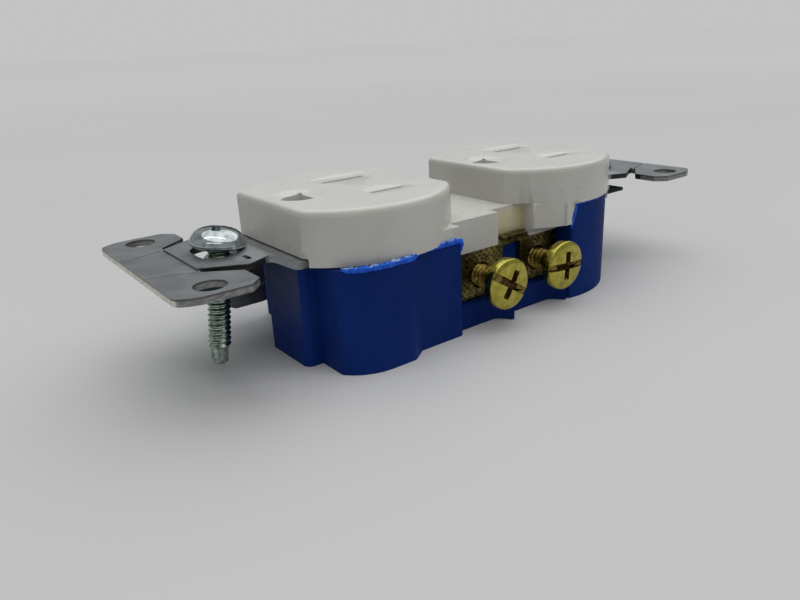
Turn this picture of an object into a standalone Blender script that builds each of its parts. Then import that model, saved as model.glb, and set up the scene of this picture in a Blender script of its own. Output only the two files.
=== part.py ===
"""Duplex wall outlet: two grounded receptacles on one yoke, with side terminals.

Metres, +Z out of the wall, origin under the middle of the back. X runs along the strap, with the
ground holes towards -X, and the hot side is at -Y.
"""

import math

import bmesh
import bpy
from mathutils import Vector

# Fits
GAP = 0.00025  # left between pieces that seat on each other
OVERLAP = 0.0004  # how far shapes run into each other before they are joined
ARC_STEPS = 24

# Receptacle faces
FACE_PITCH = 0.0389  # centre to centre, as on a standard duplex plate
FACE_RADIUS = 0.0167
FACE_FLAT = 0.0135  # face centre to each flat
FACE_ROUND = 0.0010
FACE_RISE = 0.0070  # above the strap
FACE_SKIN = 0.0022
COVER_WALL = 0.0019
TIER_MARGIN = 0.00013  # lower tier of the cover outside the faces
BRIDGE_RISE = 0.0011  # above the strap
PLATE_SCREW_HOLE = 0.0021  # radius, in the bridge

# Openings of one receptacle
BLADE_LINE = 0.0039  # from the face centre towards +X
BLADE_SIDE = 0.00635  # blade slots either side of the middle
SLOT_WIDTH = 0.0019
HOT_SLOT = 0.0066
NEUTRAL_SLOT = 0.0083
GROUND_BACK = 0.0119  # from the blade line towards -X
GROUND_RADIUS = 0.0026
GROUND_FLAT = 0.00187  # from the middle of the hole to its flat side

# Back body
BODY_HEIGHT = 0.0157
BODY_WALL = 0.0016
BODY_FLOOR = 0.0018
LOBE_MARGIN = 0.0004  # lobe flat outside the face
LOBE_FLAT_FROM = 0.00445  # from the face centre, away from the terminals
LOBE_FLAT_TO = 0.00015
LOBE_ROUND = 0.0083
SHOULDER_STEP = 0.0019  # lobe flat to the shoulder beside the terminals
SHOULDER_RUN = 0.0027
LOBE_CORNER = 0.0111  # from the face centre to the lobe's end wall
UPPER_LOBE_INSET = 0.0003  # the upper lobe is round, inside its face
UPPER_LOBE_CORNER = 0.0102
LOBE_SLOPE = 0.33  # run to rise of the upper lobe's corner beside the terminals
RIM_RISE = 0.0014  # rim of the upper lobe, up into the cover
RIM_WALL = 0.0007
NOSE_REACH = 0.00025  # nose beyond the flat of the face
NOSE_SIDE = 0.0084
NOSE_CUT = 0.0024  # where the nose stops beside the ground terminal
NOSE_ROUND = 0.0013
BAY_DEPTH = 0.0034  # cut into the left lobe's end beside the ground terminal
BAY_SIDE = 0.0068
CRADLE_WIDTH = 0.0026  # seat under each blade contact
POST_CLEAR = 0.0016  # post under the strap, from its collar
POST_LENGTH = 0.0024
POST_HALF = 0.0024

# Side terminals
TERMINAL_MIDDLE = 0.0050  # X of the middle of each pair of screws
TERMINAL_PITCH = 0.0134
TERMINAL_AXIS = 0.0079  # above the back
RECESS_LEFT = 0.0135  # from the middle of the pair to each end of the recess
RECESS_RIGHT = 0.0112
PLATE_INSET = 0.0029  # outer side of the terminal plates, behind the shoulder
PLATE_THICK = 0.0008
PLATE_TOP = 0.0123
LEDGE_TOP = 0.00405
LEDGE_REACH = 0.0014  # ledge in front of the plates
LEDGE_LAP = 0.0006  # ledge behind the plates
FIN_REACH = 0.0026
FIN_RUN = 0.0032
FIN_SLOPE = 0.0009
FIN_PLACES = (-0.0029, 0.0103)  # tips, from the middle of the pair
SKIRT_DEPTH = 0.0017
SKIRT_LIP = 0.0006  # skirt in front of the plates
SKIRT_RAISE = 0.0012  # foot of its round part above the rest of its foot
NOTCH_MIDDLE = 0.0004  # from the middle of the pair
NOTCH_HALF = 0.0038
NOTCH_DEPTH = 0.0020
POCKET_WALL = 0.0013  # behind the notch
TAB_SLIT_HALF = 0.0021
TAB_HEIGHT = 0.0011
TAB_FIN = 0.0009
TAB_FIN_THICK = 0.0005
BARRIER_LAP = 0.0005  # barrier behind the slit, past each side of it
BARRIER_THICK = 0.0014

# Contacts
CONTACT_WIDTH = 0.0040
CONTACT_BASE = 0.0050  # above the back
CONTACT_TOP = 0.0154
CONTACT_THICK = 0.0006
CONTACT_MOUTH = 0.0007  # half of the gap between two leaves
CONTACT_FLARE = 0.0005
CONTACT_FLARE_RISE = 0.0020
ARM_HEIGHT = 0.0065
CLIP_WIDTH = 0.0070
CLIP_FOOT = 0.0080  # above the back
CLIP_FOOT_RISE = 0.0024  # foot of a clip, from its mouth to its root
CLIP_MOUTH_DROP = 0.0010  # top of a clip at its mouth, under the strap
CLIP_FLANGE = 0.0048
CLIP_MOUTH = 0.00235
RIVET_RADIUS = 0.0011
RIVET_HEAD = 0.0019
RIVET_CROWN = 0.0012
RIVET_EDGE = 0.00027
RIVET_DOME = 0.0008

# Mounting strap
STRAP_THICK = 0.0010
STRAP_LENGTH = 0.1060
STRAP_STEP = 0.0013  # tongue above the bar
BAR_HALF = 0.0036
PAD_HALF = 0.0050
PAD_RUN = 0.0047
PIN_HOLE = 0.0032
ROOT_HALF = 0.0103
ROOT_RUN = 0.0008  # root beyond the flat of the face
ROOT_LAP = 0.0033  # root inside the flat of the face
NECK_HALF = 0.0078
NECK_RUN = 0.0034
NECK_STEPS = 6
TONGUE_HALF = 0.0094
TONGUE_END_HALF = 0.0063
TONGUE_BACK = 0.0124  # strap end to the widest part of the tongue
TONGUE_FRONT = 0.0068  # strap end to the end of the tongue
EAR_DROP = 0.00025
EAR_INSET = 0.0001  # ears inside the width of the faces
EAR_LENGTH = 0.0111
EAR_INNER = 0.0103
EAR_ROOT = 0.0069
EAR_CUT = 0.0017
EAR_END_CUT = 0.0026
EAR_END_SLANT = 0.0014  # end of an ear inside its side
EAR_HOLE = 0.00215
EAR_HOLE_INSET = 0.0033
EAR_HOLE_BACK = 0.0053
SCORE_END = 0.0047
SCORE_WIDTH = 0.0005
SCORE_DEPTH = 0.0003
COLLAR_RADIUS = 0.0026
COLLAR_DEPTH = 0.0014
COLLAR_BORE = 0.0014
KEY_SLOT = (0.0008, 0.0022)
KEY_SLOT_PLACE = (0.0021, 0.0064)  # from the mounting slot, and from the middle

# Ground terminal
GROUND_TAB_SIDE = 0.0084
GROUND_TAB_IN = 0.0007  # from the body's end wall
GROUND_TAB_WIDTH = 0.0062
GROUND_TAB_FOOT = 0.0056
GROUND_TAB_ROUND = 0.0016
GROUND_SCREW_HEIGHT = 0.0103
GROUND_SCREW_RADIUS = 0.0020
GROUND_SCREW_OUT = 0.0036  # under the head to the tab, backed out
GROUND_SCREW_LENGTH = 0.0066
GROUND_HEX = 0.00318
GROUND_FLANGE = 0.0039
GROUND_FLANGE_THICK = 0.0008
GROUND_FLANGE_EDGE = 0.0002
GROUND_HEX_HEIGHT = 0.0024
GROUND_HEX_TURN = math.radians(20)  # of its corners against the slot

# Terminal screws
SCREW_RADIUS = 0.0020
SCREW_HEAD = 0.0042
SCREW_HEAD_HEIGHT = 0.0020
SCREW_RIM = 0.0010  # height of the head's upright rim
SCREW_FLAT = 0.0019  # radius of the flat on top
SCREW_EDGE = 0.0003  # under the rim
SCREW_CHAMFER = 0.0004  # end of the shank
SCREW_OUT = 0.0050  # under the head to the plate, backed out
SCREW_PAST = 0.0027  # shank beyond the outer side of the plate
SCREW_SLOT = 0.0011
SCREW_SLOT_DEPTH = 0.0011
CROSS_LENGTH = 0.0046

# Mounting screws and their washers
MOUNT_PITCH = 0.08334  # standard spacing of box screws
MOUNT_SLOT_HALF = 0.0027
MOUNT_SLOT_LENGTH = 0.0084
MOUNT_RADIUS = 0.00165
MOUNT_HEAD = 0.0043
MOUNT_DOME = 0.0026
MOUNT_RIM = 0.00036
MOUNT_LENGTH = 0.0178
MOUNT_POINT = 0.0026  # dog point
MOUNT_POINT_RADIUS = 0.00124
MOUNT_TAPER = 0.00055
LOWER_LEAN = math.radians(7.5)  # the lower screw leans in its slot, tip outwards
LOWER_SHIFT = 0.0008  # its head, from the middle of the slot
WASHER_SIDE = 0.0096
WASHER_THICK = 0.0007
WASHER_DROP = 0.0036  # under the head to the washer, past the strap

HALF_PITCH = FACE_PITCH / 2
SEAM = BODY_HEIGHT + GAP
STRAP_UNDER = SEAM
STRAP_TOP = STRAP_UNDER + STRAP_THICK
TONGUE_UNDER = STRAP_UNDER + STRAP_STEP
TONGUE_TOP = TONGUE_UNDER + STRAP_THICK
FACE_TOP = STRAP_TOP + FACE_RISE
BRIDGE_TOP = STRAP_TOP + BRIDGE_RISE
LOBE_SIDE = FACE_RADIUS + LOBE_MARGIN
SHOULDER_SIDE = LOBE_SIDE - SHOULDER_STEP
FACE_END = HALF_PITCH + FACE_FLAT
NOSE_END = FACE_END + NOSE_REACH
LOBE_END = HALF_PITCH + LOBE_CORNER
UPPER_LOBE_RADIUS = FACE_RADIUS - UPPER_LOBE_INSET
UPPER_LOBE_END = HALF_PITCH + UPPER_LOBE_CORNER
PLATE_OUT = SHOULDER_SIDE - PLATE_INSET
LEDGE_SIDE = PLATE_OUT + LEDGE_REACH
RIM_TOP = BODY_HEIGHT + RIM_RISE
RECESS = (TERMINAL_MIDDLE - RECESS_LEFT, TERMINAL_MIDDLE + RECESS_RIGHT)
NOTCH = (TERMINAL_MIDDLE + NOTCH_MIDDLE - NOTCH_HALF, TERMINAL_MIDDLE + NOTCH_MIDDLE + NOTCH_HALF)
TAB_SLIT = (TERMINAL_MIDDLE + NOTCH_MIDDLE - TAB_SLIT_HALF, TERMINAL_MIDDLE + NOTCH_MIDDLE + TAB_SLIT_HALF)
SCREW_X = (TERMINAL_MIDDLE - TERMINAL_PITCH / 2, TERMINAL_MIDDLE + TERMINAL_PITCH / 2)
BLADE_X = (-HALF_PITCH + BLADE_LINE, HALF_PITCH + BLADE_LINE)
GROUND_X = (BLADE_X[0] - GROUND_BACK, BLADE_X[1] - GROUND_BACK)
CLIP_AHEAD = LOBE_END - BODY_WALL - 2 * GAP + GROUND_X[0]  # beyond the middle of a ground hole
RIVET_X = tuple(x - CLIP_AHEAD + CLIP_WIDTH + CLIP_FLANGE / 2 for x in GROUND_X)
SKIRT_FOOT = PLATE_TOP + GAP
SKIRT_OUT = PLATE_OUT + SKIRT_LIP
EAR_SIDE = FACE_RADIUS - EAR_INSET
EAR_END_HALF = EAR_SIDE - EAR_END_SLANT
EAR_HOLE_SIDE = EAR_SIDE - EAR_HOLE_INSET
MOUNT_X = MOUNT_PITCH / 2
STRAP_END = STRAP_LENGTH / 2
GROUND_SCREW_X = -(LOBE_END + 2 * GAP + GROUND_FLANGE)


def clear_scene():
    for item in list(bpy.data.objects):
        bpy.data.objects.remove(item, do_unlink=True)


def add_object(name, shape):
    """Links a bmesh as an object, with its faces turned outwards."""
    bmesh.ops.recalc_face_normals(shape, faces=shape.faces)
    mesh = bpy.data.meshes.new(name)
    shape.to_mesh(mesh)
    shape.free()
    item = bpy.data.objects.new(name, mesh)
    bpy.context.collection.objects.link(item)
    return item


def prism(name, outline, low, high, plane="XY"):
    """Extrudes an outline in a plane from low to high across that plane."""
    across = {"XY": 2, "XZ": 1, "YZ": 0}[plane]
    shape = bmesh.new()
    corners = []
    for first, second in outline:
        corner = [first, second]
        corner.insert(across, low)
        corners.append(shape.verts.new(corner))
    end = shape.faces.new(corners)
    grown = bmesh.ops.extrude_face_region(shape, geom=[end])
    step = Vector((0, 0, 0))
    step[across] = high - low
    moved = [part for part in grown["geom"] if isinstance(part, bmesh.types.BMVert)]
    bmesh.ops.translate(shape, verts=moved, vec=step)
    return add_object(name, shape)


def block(name, across, along, height):
    """A box from its X, Y and Z pairs, each in either order."""
    left, right = sorted(across)
    near, far = sorted(along)
    low, high = sorted(height)
    return prism(name, [(left, near), (right, near), (right, far), (left, far)], low, high)


def turned(name, profile, steps=32):
    """Turns (radius, height) points, from the lower axis point to the upper one, about Z."""
    shape = bmesh.new()
    rings = []
    for radius, height in profile:
        count = steps if radius > 0 else 1
        turn = [2 * math.pi * step / steps for step in range(count)]
        rings.append([shape.verts.new((radius * math.cos(a), radius * math.sin(a), height)) for a in turn])
    for lower, upper in zip(rings, rings[1:]):
        for step in range(steps):
            after = (step + 1) % steps
            ring = [lower[step % len(lower)], lower[after % len(lower)]]
            ring += [upper[after % len(upper)], upper[step % len(upper)]]
            shape.faces.new(list(dict.fromkeys(ring)))
    return add_object(name, shape)


def rod(name, radius, centre, low, high, plane="XY", steps=32):
    """A round bar across a plane."""
    turn = [2 * math.pi * step / steps for step in range(steps)]
    outline = [(centre[0] + radius * math.cos(a), centre[1] + radius * math.sin(a)) for a in turn]
    return prism(name, outline, low, high, plane)


def combine(target, tool, operation="DIFFERENCE"):
    """Cuts the tool out of the target, or joins it on, and removes the tool."""
    joint = target.modifiers.new(operation.lower(), "BOOLEAN")
    joint.object = tool
    joint.operation = operation
    joint.solver = "EXACT"
    bpy.context.view_layer.update()
    graph = bpy.context.evaluated_depsgraph_get()
    result = bpy.data.meshes.new_from_object(target.evaluated_get(graph))
    target.modifiers.clear()
    before = target.data
    target.data = result
    result.name = target.name
    bpy.data.meshes.remove(before)
    bpy.data.objects.remove(tool, do_unlink=True)


def cut(target, *tools):
    for tool in tools:
        combine(target, tool, "DIFFERENCE")


def join(target, *tools):
    for tool in tools:
        combine(target, tool, "UNION")


def finish(item, colour, roughness, metallic=0.0, smooth=False):
    """Gives a piece its own material."""
    surface = bpy.data.materials.new(item.name)
    surface.use_nodes = True
    shader = surface.node_tree.nodes["Principled BSDF"]
    shader.inputs["Base Color"].default_value = (*colour, 1.0)
    shader.inputs["Roughness"].default_value = roughness
    shader.inputs["Metallic"].default_value = metallic
    item.data.materials.clear()
    item.data.materials.append(surface)
    if smooth:
        item.data.shade_smooth()
        item.data.set_sharp_from_angle(angle=math.radians(35))
    return item


def arc(centre, radius, start, end, steps=ARC_STEPS):
    """Points on an arc, with its angles in radians."""
    turn = [start + (end - start) * step / steps for step in range(steps + 1)]
    return [(centre[0] + radius * math.cos(a), centre[1] + radius * math.sin(a)) for a in turn]


def turned_about(points):
    return [(-x, -y) for x, y in points]


def mirrored(points):
    """The same outline on the other side of the middle plane, in the same turning sense."""
    return [(x, -y) for x, y in reversed(points)]


def face_outline(centre, radius, flat):
    """A circle with its two ends cut flat."""
    tilt = math.acos(flat / radius)
    far = arc((centre, 0), radius, tilt, math.pi - tilt)
    near = arc((centre, 0), radius, math.pi + tilt, 2 * math.pi - tilt)
    return far + near


def round_corner(corners, place, radius, steps=6):
    """Arc that takes the place of one square corner of an outline that turns to the left."""
    corner = Vector(corners[place])
    before = (Vector(corners[place - 1]) - corner).normalized() * radius
    after = (Vector(corners[(place + 1) % len(corners)]) - corner).normalized() * radius
    start = math.atan2(-after.y, -after.x)
    return arc(corner + before + after, radius, start, start + math.pi / 2, steps)


def lobe_side(end, depth):
    """Near side of the body's left lobe, from its end wall to the shoulder, moved inwards by a depth."""
    flat_end = -HALF_PITCH - LOBE_FLAT_FROM
    radius = LOBE_ROUND - depth
    start = 2 * math.pi - math.acos((flat_end + end) / -radius)
    side = arc((flat_end, LOBE_ROUND - LOBE_SIDE), radius, start, 1.5 * math.pi, 5)
    slope = math.atan2(SHOULDER_STEP, SHOULDER_RUN)
    flat_stop = -HALF_PITCH - LOBE_FLAT_TO - depth * math.tan(slope / 2)
    return side + [(flat_stop, depth - LOBE_SIDE), (flat_stop + SHOULDER_RUN, depth - SHOULDER_SIDE)]


def upper_lobe_side(depth):
    """Near side of the body's upper lobe, from the shoulder to its end wall, moved inwards by a depth."""
    radius = UPPER_LOBE_RADIUS - depth
    start = 2 * math.pi - math.acos(-math.sqrt(1 - ((SHOULDER_SIDE - depth) / radius) ** 2))
    stop = 2 * math.pi - math.acos((UPPER_LOBE_CORNER - depth) / radius)
    return arc((HALF_PITCH, 0), radius, start, stop, 10)


def lobe_slope(height):
    """X of the upper lobe's slanted corner beside the recess, at a height."""
    return RECESS[1] - OVERLAP + (height - SKIRT_FOOT) * LOBE_SLOPE


def upper_rim(inner, outer, low, high, side, spare=0.0):
    """Ring section over the upper lobe's wall on one side, from the recess to near the end wall."""
    start = 1.5 * math.pi - math.asin((HALF_PITCH - RECESS[1]) / UPPER_LOBE_RADIUS)
    stop = 2 * math.pi - math.acos((UPPER_LOBE_CORNER - BODY_WALL) / UPPER_LOBE_RADIUS)
    stop += spare / UPPER_LOBE_RADIUS
    outline = arc((HALF_PITCH, 0), outer, start, stop, 10)
    outline += arc((HALF_PITCH, 0), inner, stop, start, 10)
    return prism("rim", outline if side < 0 else mirrored(outline), low, high)


def body_outline(depth=0.0):
    """Outline of the back body, moved inwards by a depth.

    It has a lobe under each face and a nose under each strap end, with a bay for the ground terminal.
    """
    nose_end = NOSE_END - depth
    lobe_end = LOBE_END - depth
    bay_end = lobe_end - BAY_DEPTH
    nose_side = depth - NOSE_SIDE
    near = [(-nose_end, nose_side), (-lobe_end, nose_side)] + lobe_side(lobe_end, depth)
    right = upper_lobe_side(depth) + [(UPPER_LOBE_END - depth, nose_side), (nose_end, nose_side)]
    far = mirrored(right) + mirrored(lobe_side(bay_end, depth))
    far += [(-bay_end, BAY_SIDE - depth), (-lobe_end, BAY_SIDE - depth)]
    far += [(-lobe_end, NOSE_CUT - depth), (-nose_end, NOSE_CUT - depth)]
    corners = near + right + far
    radius = max(NOSE_ROUND - depth, NOSE_ROUND / 10)
    middle = len(near + right)
    noses = {0, middle - 1, middle}
    outline = []
    for place, corner in enumerate(corners):
        outline += round_corner(corners, place, radius) if place in noses else [corner]
    return outline


def side_blocks(body, side):
    """Ledge, fins and inner walls of the body around one pair of terminals."""
    left, right = RECESS
    inside = PLATE_OUT - PLATE_THICK - GAP
    outside = side * 2 * LOBE_SIDE
    above = 2 * BODY_HEIGHT
    cut(body, block("opening", RECESS, (side * PLATE_OUT, outside), (LEDGE_TOP, above)))
    cut(body, block("front", RECESS, (side * LEDGE_SIDE, outside), (-BODY_FLOOR, above)))
    arm_run = (BLADE_X[0] - CONTACT_WIDTH / 2 - GAP, BLADE_X[1] + CONTACT_WIDTH / 2 + GAP)
    arm_depth = (side * (PLATE_OUT - PLATE_THICK / 2), side * (PLATE_OUT + GAP))
    cut(body, block("arm_way", arm_run, arm_depth, (CONTACT_BASE - GAP, above)))
    ledge_run = (left - OVERLAP, right + OVERLAP)
    ledge_depth = (side * LEDGE_SIDE, side * (inside - LEDGE_LAP))
    join(body, block("ledge", ledge_run, ledge_depth, (BODY_FLOOR / 2, LEDGE_TOP)))
    wall_top = BODY_HEIGHT - OVERLAP / 2
    wall_side = (side * (PLATE_OUT + GAP), side * (SHOULDER_SIDE - OVERLAP / 2))
    join(body, block("left_wall", (left - BODY_WALL, left), wall_side, (BODY_FLOOR / 2, wall_top)))
    join(body, block("right_wall", (right, right + BODY_WALL), wall_side, (BODY_FLOOR / 2, wall_top)))
    barrier = (TAB_SLIT[0] - BARRIER_LAP, TAB_SLIT[1] + BARRIER_LAP)
    depth = (side * inside, side * (inside - BARRIER_THICK))
    join(body, block("barrier", barrier, depth, (BODY_FLOOR / 2, PLATE_TOP)))
    rim_out = UPPER_LOBE_RADIUS - OVERLAP / 4
    join(body, upper_rim(UPPER_LOBE_RADIUS - RIM_WALL, rim_out, BODY_HEIGHT - OVERLAP, RIM_TOP, side))
    slope = [(lobe_slope(height), height) for height in (SKIRT_FOOT, above)]
    slope.append((lobe_slope(SKIRT_FOOT), above))
    limits = sorted((side * PLATE_OUT, outside))
    cut(body, prism("corner", slope, limits[0], limits[1], "XZ"))
    for place in FIN_PLACES:
        tip = TERMINAL_MIDDLE + place
        hollow = arc((tip - FIN_RUN, LEDGE_SIDE + FIN_REACH), FIN_REACH, 1.5 * math.pi, 1.85 * math.pi, 5)
        outline = [(tip - FIN_RUN, LEDGE_SIDE - OVERLAP)] + hollow
        outline += [(tip, LEDGE_SIDE + FIN_REACH), (tip + FIN_SLOPE, LEDGE_SIDE - OVERLAP)]
        join(body, prism("fin", [(x, side * y) for x, y in outline], OVERLAP / 4, LEDGE_TOP - OVERLAP))


def back_body():
    body = prism("back_body", body_outline(), 0, BODY_HEIGHT)
    cut(body, prism("cavity", body_outline(BODY_WALL), BODY_FLOOR, 2 * BODY_HEIGHT))
    for side in (-1, 1):
        side_blocks(body, side)
        for x in BLADE_X:
            seat = (x - CRADLE_WIDTH / 2, x + CRADLE_WIDTH / 2)
            run = (side * (BLADE_SIDE - CONTACT_MOUTH), side * (PLATE_OUT - PLATE_THICK))
            join(body, block("cradle", seat, run, (BODY_FLOOR / 2, CONTACT_BASE - GAP)))
    post = (COLLAR_RADIUS + POST_CLEAR, COLLAR_RADIUS + POST_CLEAR + POST_LENGTH)
    join(body, block("strap_post", post, (-POST_HALF, POST_HALF), (BODY_FLOOR / 2, BODY_HEIGHT)))
    return finish(body, (0.008, 0.03, 0.19), 0.42)


def tier_outline(side):
    """Half of the cover's lower tier on one side: two lobes joined by the bridge."""
    radius = FACE_RADIUS + TIER_MARGIN
    tilt = math.acos((FACE_FLAT + TIER_MARGIN) / radius)
    shoulder = math.asin(SHOULDER_SIDE / radius)
    front = math.asin(SKIRT_OUT / radius)
    edge = RECESS[0] - GAP
    points = arc((-HALF_PITCH, 0), radius, math.pi + tilt, 2 * math.pi - shoulder)
    points += [(edge, -SHOULDER_SIDE), (edge, -SKIRT_OUT)]
    points += arc((HALF_PITCH, 0), radius, math.pi + front, 2 * math.pi - tilt)
    return points if side < 0 else mirrored(points)


def skirt(side):
    """Wall of the cover over one pair of terminals, with the pocket behind the break-off tab."""
    radius = FACE_RADIUS + TIER_MARGIN
    front = math.asin(SKIRT_OUT / radius)
    left, right = RECESS[0] + GAP, RECESS[1] - GAP
    stop = math.acos((right - HALF_PITCH) / radius)
    pocket = (NOTCH[0] - COVER_WALL / 2, NOTCH[1] + COVER_WALL / 2)
    inner = SKIRT_OUT - SKIRT_DEPTH
    deep = SKIRT_OUT - NOTCH_DEPTH - POCKET_WALL
    points = [(left, -SKIRT_OUT)] + arc((HALF_PITCH, 0), radius, math.pi + front, 2 * math.pi - stop, 12)
    points += [(right, -inner), (pocket[1], -inner), (pocket[1], -deep), (pocket[0], -deep)]
    points += [(pocket[0], -inner), (left, -inner)]
    return prism("skirt", points if side < 0 else mirrored(points), SKIRT_FOOT, BRIDGE_TOP - OVERLAP)


def skirt_corner(side):
    """Slanted end of a skirt, over the corner of the body's right lobe."""
    left = RECESS[1] - 4 * OVERLAP
    low, high = SKIRT_FOOT + SKIRT_RAISE, BRIDGE_TOP - OVERLAP
    slope = [(lobe_slope(height) - 2 * GAP, height) for height in (low, high)]
    outline = [(left, low)] + slope + [(left, high)]
    limits = sorted((side * (FACE_RADIUS - LOBE_MARGIN), side * (FACE_RADIUS - COVER_WALL)))
    return prism("skirt_corner", outline, limits[0], limits[1], "XZ")


def face_cap(centre):
    """One raised face with its top edge rounded."""
    cap = prism("cap", face_outline(centre, FACE_RADIUS, FACE_FLAT), STRAP_TOP + BRIDGE_RISE / 4, FACE_TOP)
    shape = bmesh.new()
    shape.from_mesh(cap.data)
    level = FACE_TOP - FACE_ROUND / 100
    rim = [edge for edge in shape.edges if min(vert.co.z for vert in edge.verts) > level]
    bmesh.ops.bevel(shape, geom=rim, offset=FACE_ROUND, segments=4, profile=0.5, affect="EDGES")
    shape.to_mesh(cap.data)
    shape.free()
    return cap


def ground_opening(x):
    """Ground hole: round towards -X, flat towards the blades."""
    outline = arc((x, 0), GROUND_RADIUS, math.pi / 2, 1.5 * math.pi, 16)
    flat = x + GROUND_FLAT
    outline += [(flat, -GROUND_RADIUS), (flat, GROUND_RADIUS)]
    return prism("ground", outline, STRAP_TOP, 2 * FACE_TOP)


def face_cover():
    tier = tier_outline(-1) + tier_outline(1)
    cover = prism("face_cover", tier, SEAM, BRIDGE_TOP)
    for centre in (-HALF_PITCH, HALF_PITCH):
        join(cover, face_cap(centre))
    for centre in (-HALF_PITCH, HALF_PITCH):
        hollow = face_outline(centre, FACE_RADIUS - COVER_WALL, FACE_FLAT - COVER_WALL)
        cut(cover, prism("hollow", hollow, 0, FACE_TOP - FACE_SKIN))
    rim_in = UPPER_LOBE_RADIUS - RIM_WALL - GAP
    for side in (-1, 1):
        cut(cover, upper_rim(rim_in, 2 * FACE_RADIUS, 0, RIM_TOP + GAP, side, 2 * GAP))
        join(cover, skirt(side), skirt_corner(side))
        depth = (side * (SKIRT_OUT - NOTCH_DEPTH), side * 2 * SKIRT_OUT)
        cut(cover, block("notch", NOTCH, depth, (0, BRIDGE_TOP + OVERLAP / 4)))
        round_run = (NOTCH[1] - OVERLAP, LOBE_END)
        round_part = (side * SKIRT_OUT, side * 2 * SKIRT_OUT)
        cut(cover, block("raise", round_run, round_part, (0, SKIRT_FOOT + SKIRT_RAISE)))
    over_strap = STRAP_TOP + GAP
    for end in (-1, 1):
        run = (end * (FACE_END + ROOT_RUN), end * (FACE_END - ROOT_LAP - 2 * GAP))
        cut(cover, block("strap_way", run, (-ROOT_HALF - GAP, ROOT_HALF + GAP), (0, over_strap)))
    middle = HALF_PITCH - FACE_FLAT + 2 * COVER_WALL
    cut(cover, block("bar_way", (-middle, middle), (-PAD_HALF - GAP, PAD_HALF + GAP), (0, over_strap)))
    for x in BLADE_X:
        for side, length in ((-1, HOT_SLOT), (1, NEUTRAL_SLOT)):
            width = (side * (BLADE_SIDE - SLOT_WIDTH / 2), side * (BLADE_SIDE + SLOT_WIDTH / 2))
            cut(cover, block("slot", (x - length / 2, x + length / 2), width, (STRAP_TOP, 2 * FACE_TOP)))
    for x in GROUND_X:
        cut(cover, ground_opening(x))
    cut(cover, rod("plate_screw", PLATE_SCREW_HOLE, (0, 0), 0, FACE_TOP))
    return finish(cover, (0.62, 0.61, 0.57), 0.35)


def bus(name, side, colour):
    """Brass of one side: two dimpled terminal plates, the tab between them and two contacts."""
    left, right = RECESS[0] + 2 * GAP, RECESS[1] - 2 * GAP
    foot = LEDGE_TOP + GAP
    slit = TAB_SLIT
    tab = (NOTCH[0] + 2 * GAP, NOTCH[1] - 2 * GAP)
    tab_top = SKIRT_FOOT + TAB_HEIGHT
    half = CONTACT_WIDTH / 2
    arm_left, arm_right = BLADE_X[0] - half, BLADE_X[1] + half
    arm_top = CONTACT_BASE + ARM_HEIGHT
    outline = [(arm_left, CONTACT_BASE), (left, CONTACT_BASE), (left, foot), (slit[0], foot)]
    slit_top = PLATE_TOP - OVERLAP
    outline += [(slit[0], slit_top), (slit[1], slit_top), (slit[1], foot), (right, foot)]
    outline += [(right, CONTACT_BASE), (arm_right, CONTACT_BASE), (arm_right, arm_top), (right, arm_top)]
    outline += [(right, PLATE_TOP), (tab[1], PLATE_TOP), (tab[1], tab_top), (tab[0], tab_top)]
    outline += [(tab[0], PLATE_TOP), (left, PLATE_TOP), (left, arm_top), (arm_left, arm_top)]
    limits = sorted((side * PLATE_OUT, side * (PLATE_OUT - PLATE_THICK)))
    item = prism(name, outline, limits[0], limits[1], "XZ")
    fin = (side * (PLATE_OUT - PLATE_THICK / 2), side * (PLATE_OUT + TAB_FIN))
    fin_top = tab_top - OVERLAP / 4
    join(item, block("fin", (tab[0] + OVERLAP, tab[1] - OVERLAP), fin, (fin_top - TAB_FIN_THICK, fin_top)))
    base_top = CONTACT_BASE + PLATE_THICK
    start = PLATE_OUT - PLATE_THICK / 2
    neck = CONTACT_TOP - CONTACT_FLARE_RISE
    bottom = CONTACT_BASE + OVERLAP / 4
    near = (BLADE_SIDE - CONTACT_MOUTH - CONTACT_THICK, BLADE_SIDE - CONTACT_MOUTH)
    far = (BLADE_SIDE + CONTACT_MOUTH, BLADE_SIDE + CONTACT_MOUTH + CONTACT_THICK)
    profile = [(start, bottom), (near[0], bottom), (near[0], neck)]
    profile += [(near[0] - CONTACT_FLARE, CONTACT_TOP), (near[1] - CONTACT_FLARE, CONTACT_TOP)]
    profile += [(near[1], neck), (near[1], base_top), (far[0], base_top), (far[0], neck)]
    profile += [(far[0] + CONTACT_FLARE, CONTACT_TOP), (far[1] + CONTACT_FLARE, CONTACT_TOP)]
    profile += [(far[1], neck), (far[1], base_top), (start, base_top)]
    for x in BLADE_X:
        width = CONTACT_WIDTH / 2 - OVERLAP / 2
        join(item, prism("contact", [(side * y, z) for y, z in profile], x - width, x + width, "YZ"))
    for x in SCREW_X:
        cut(item, rod("hole", SCREW_RADIUS + GAP, (x, TERMINAL_AXIS), -2 * PLATE_OUT, 2 * PLATE_OUT, "XZ"))
    return finish(item, colour, 0.34, 1.0)


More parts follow.
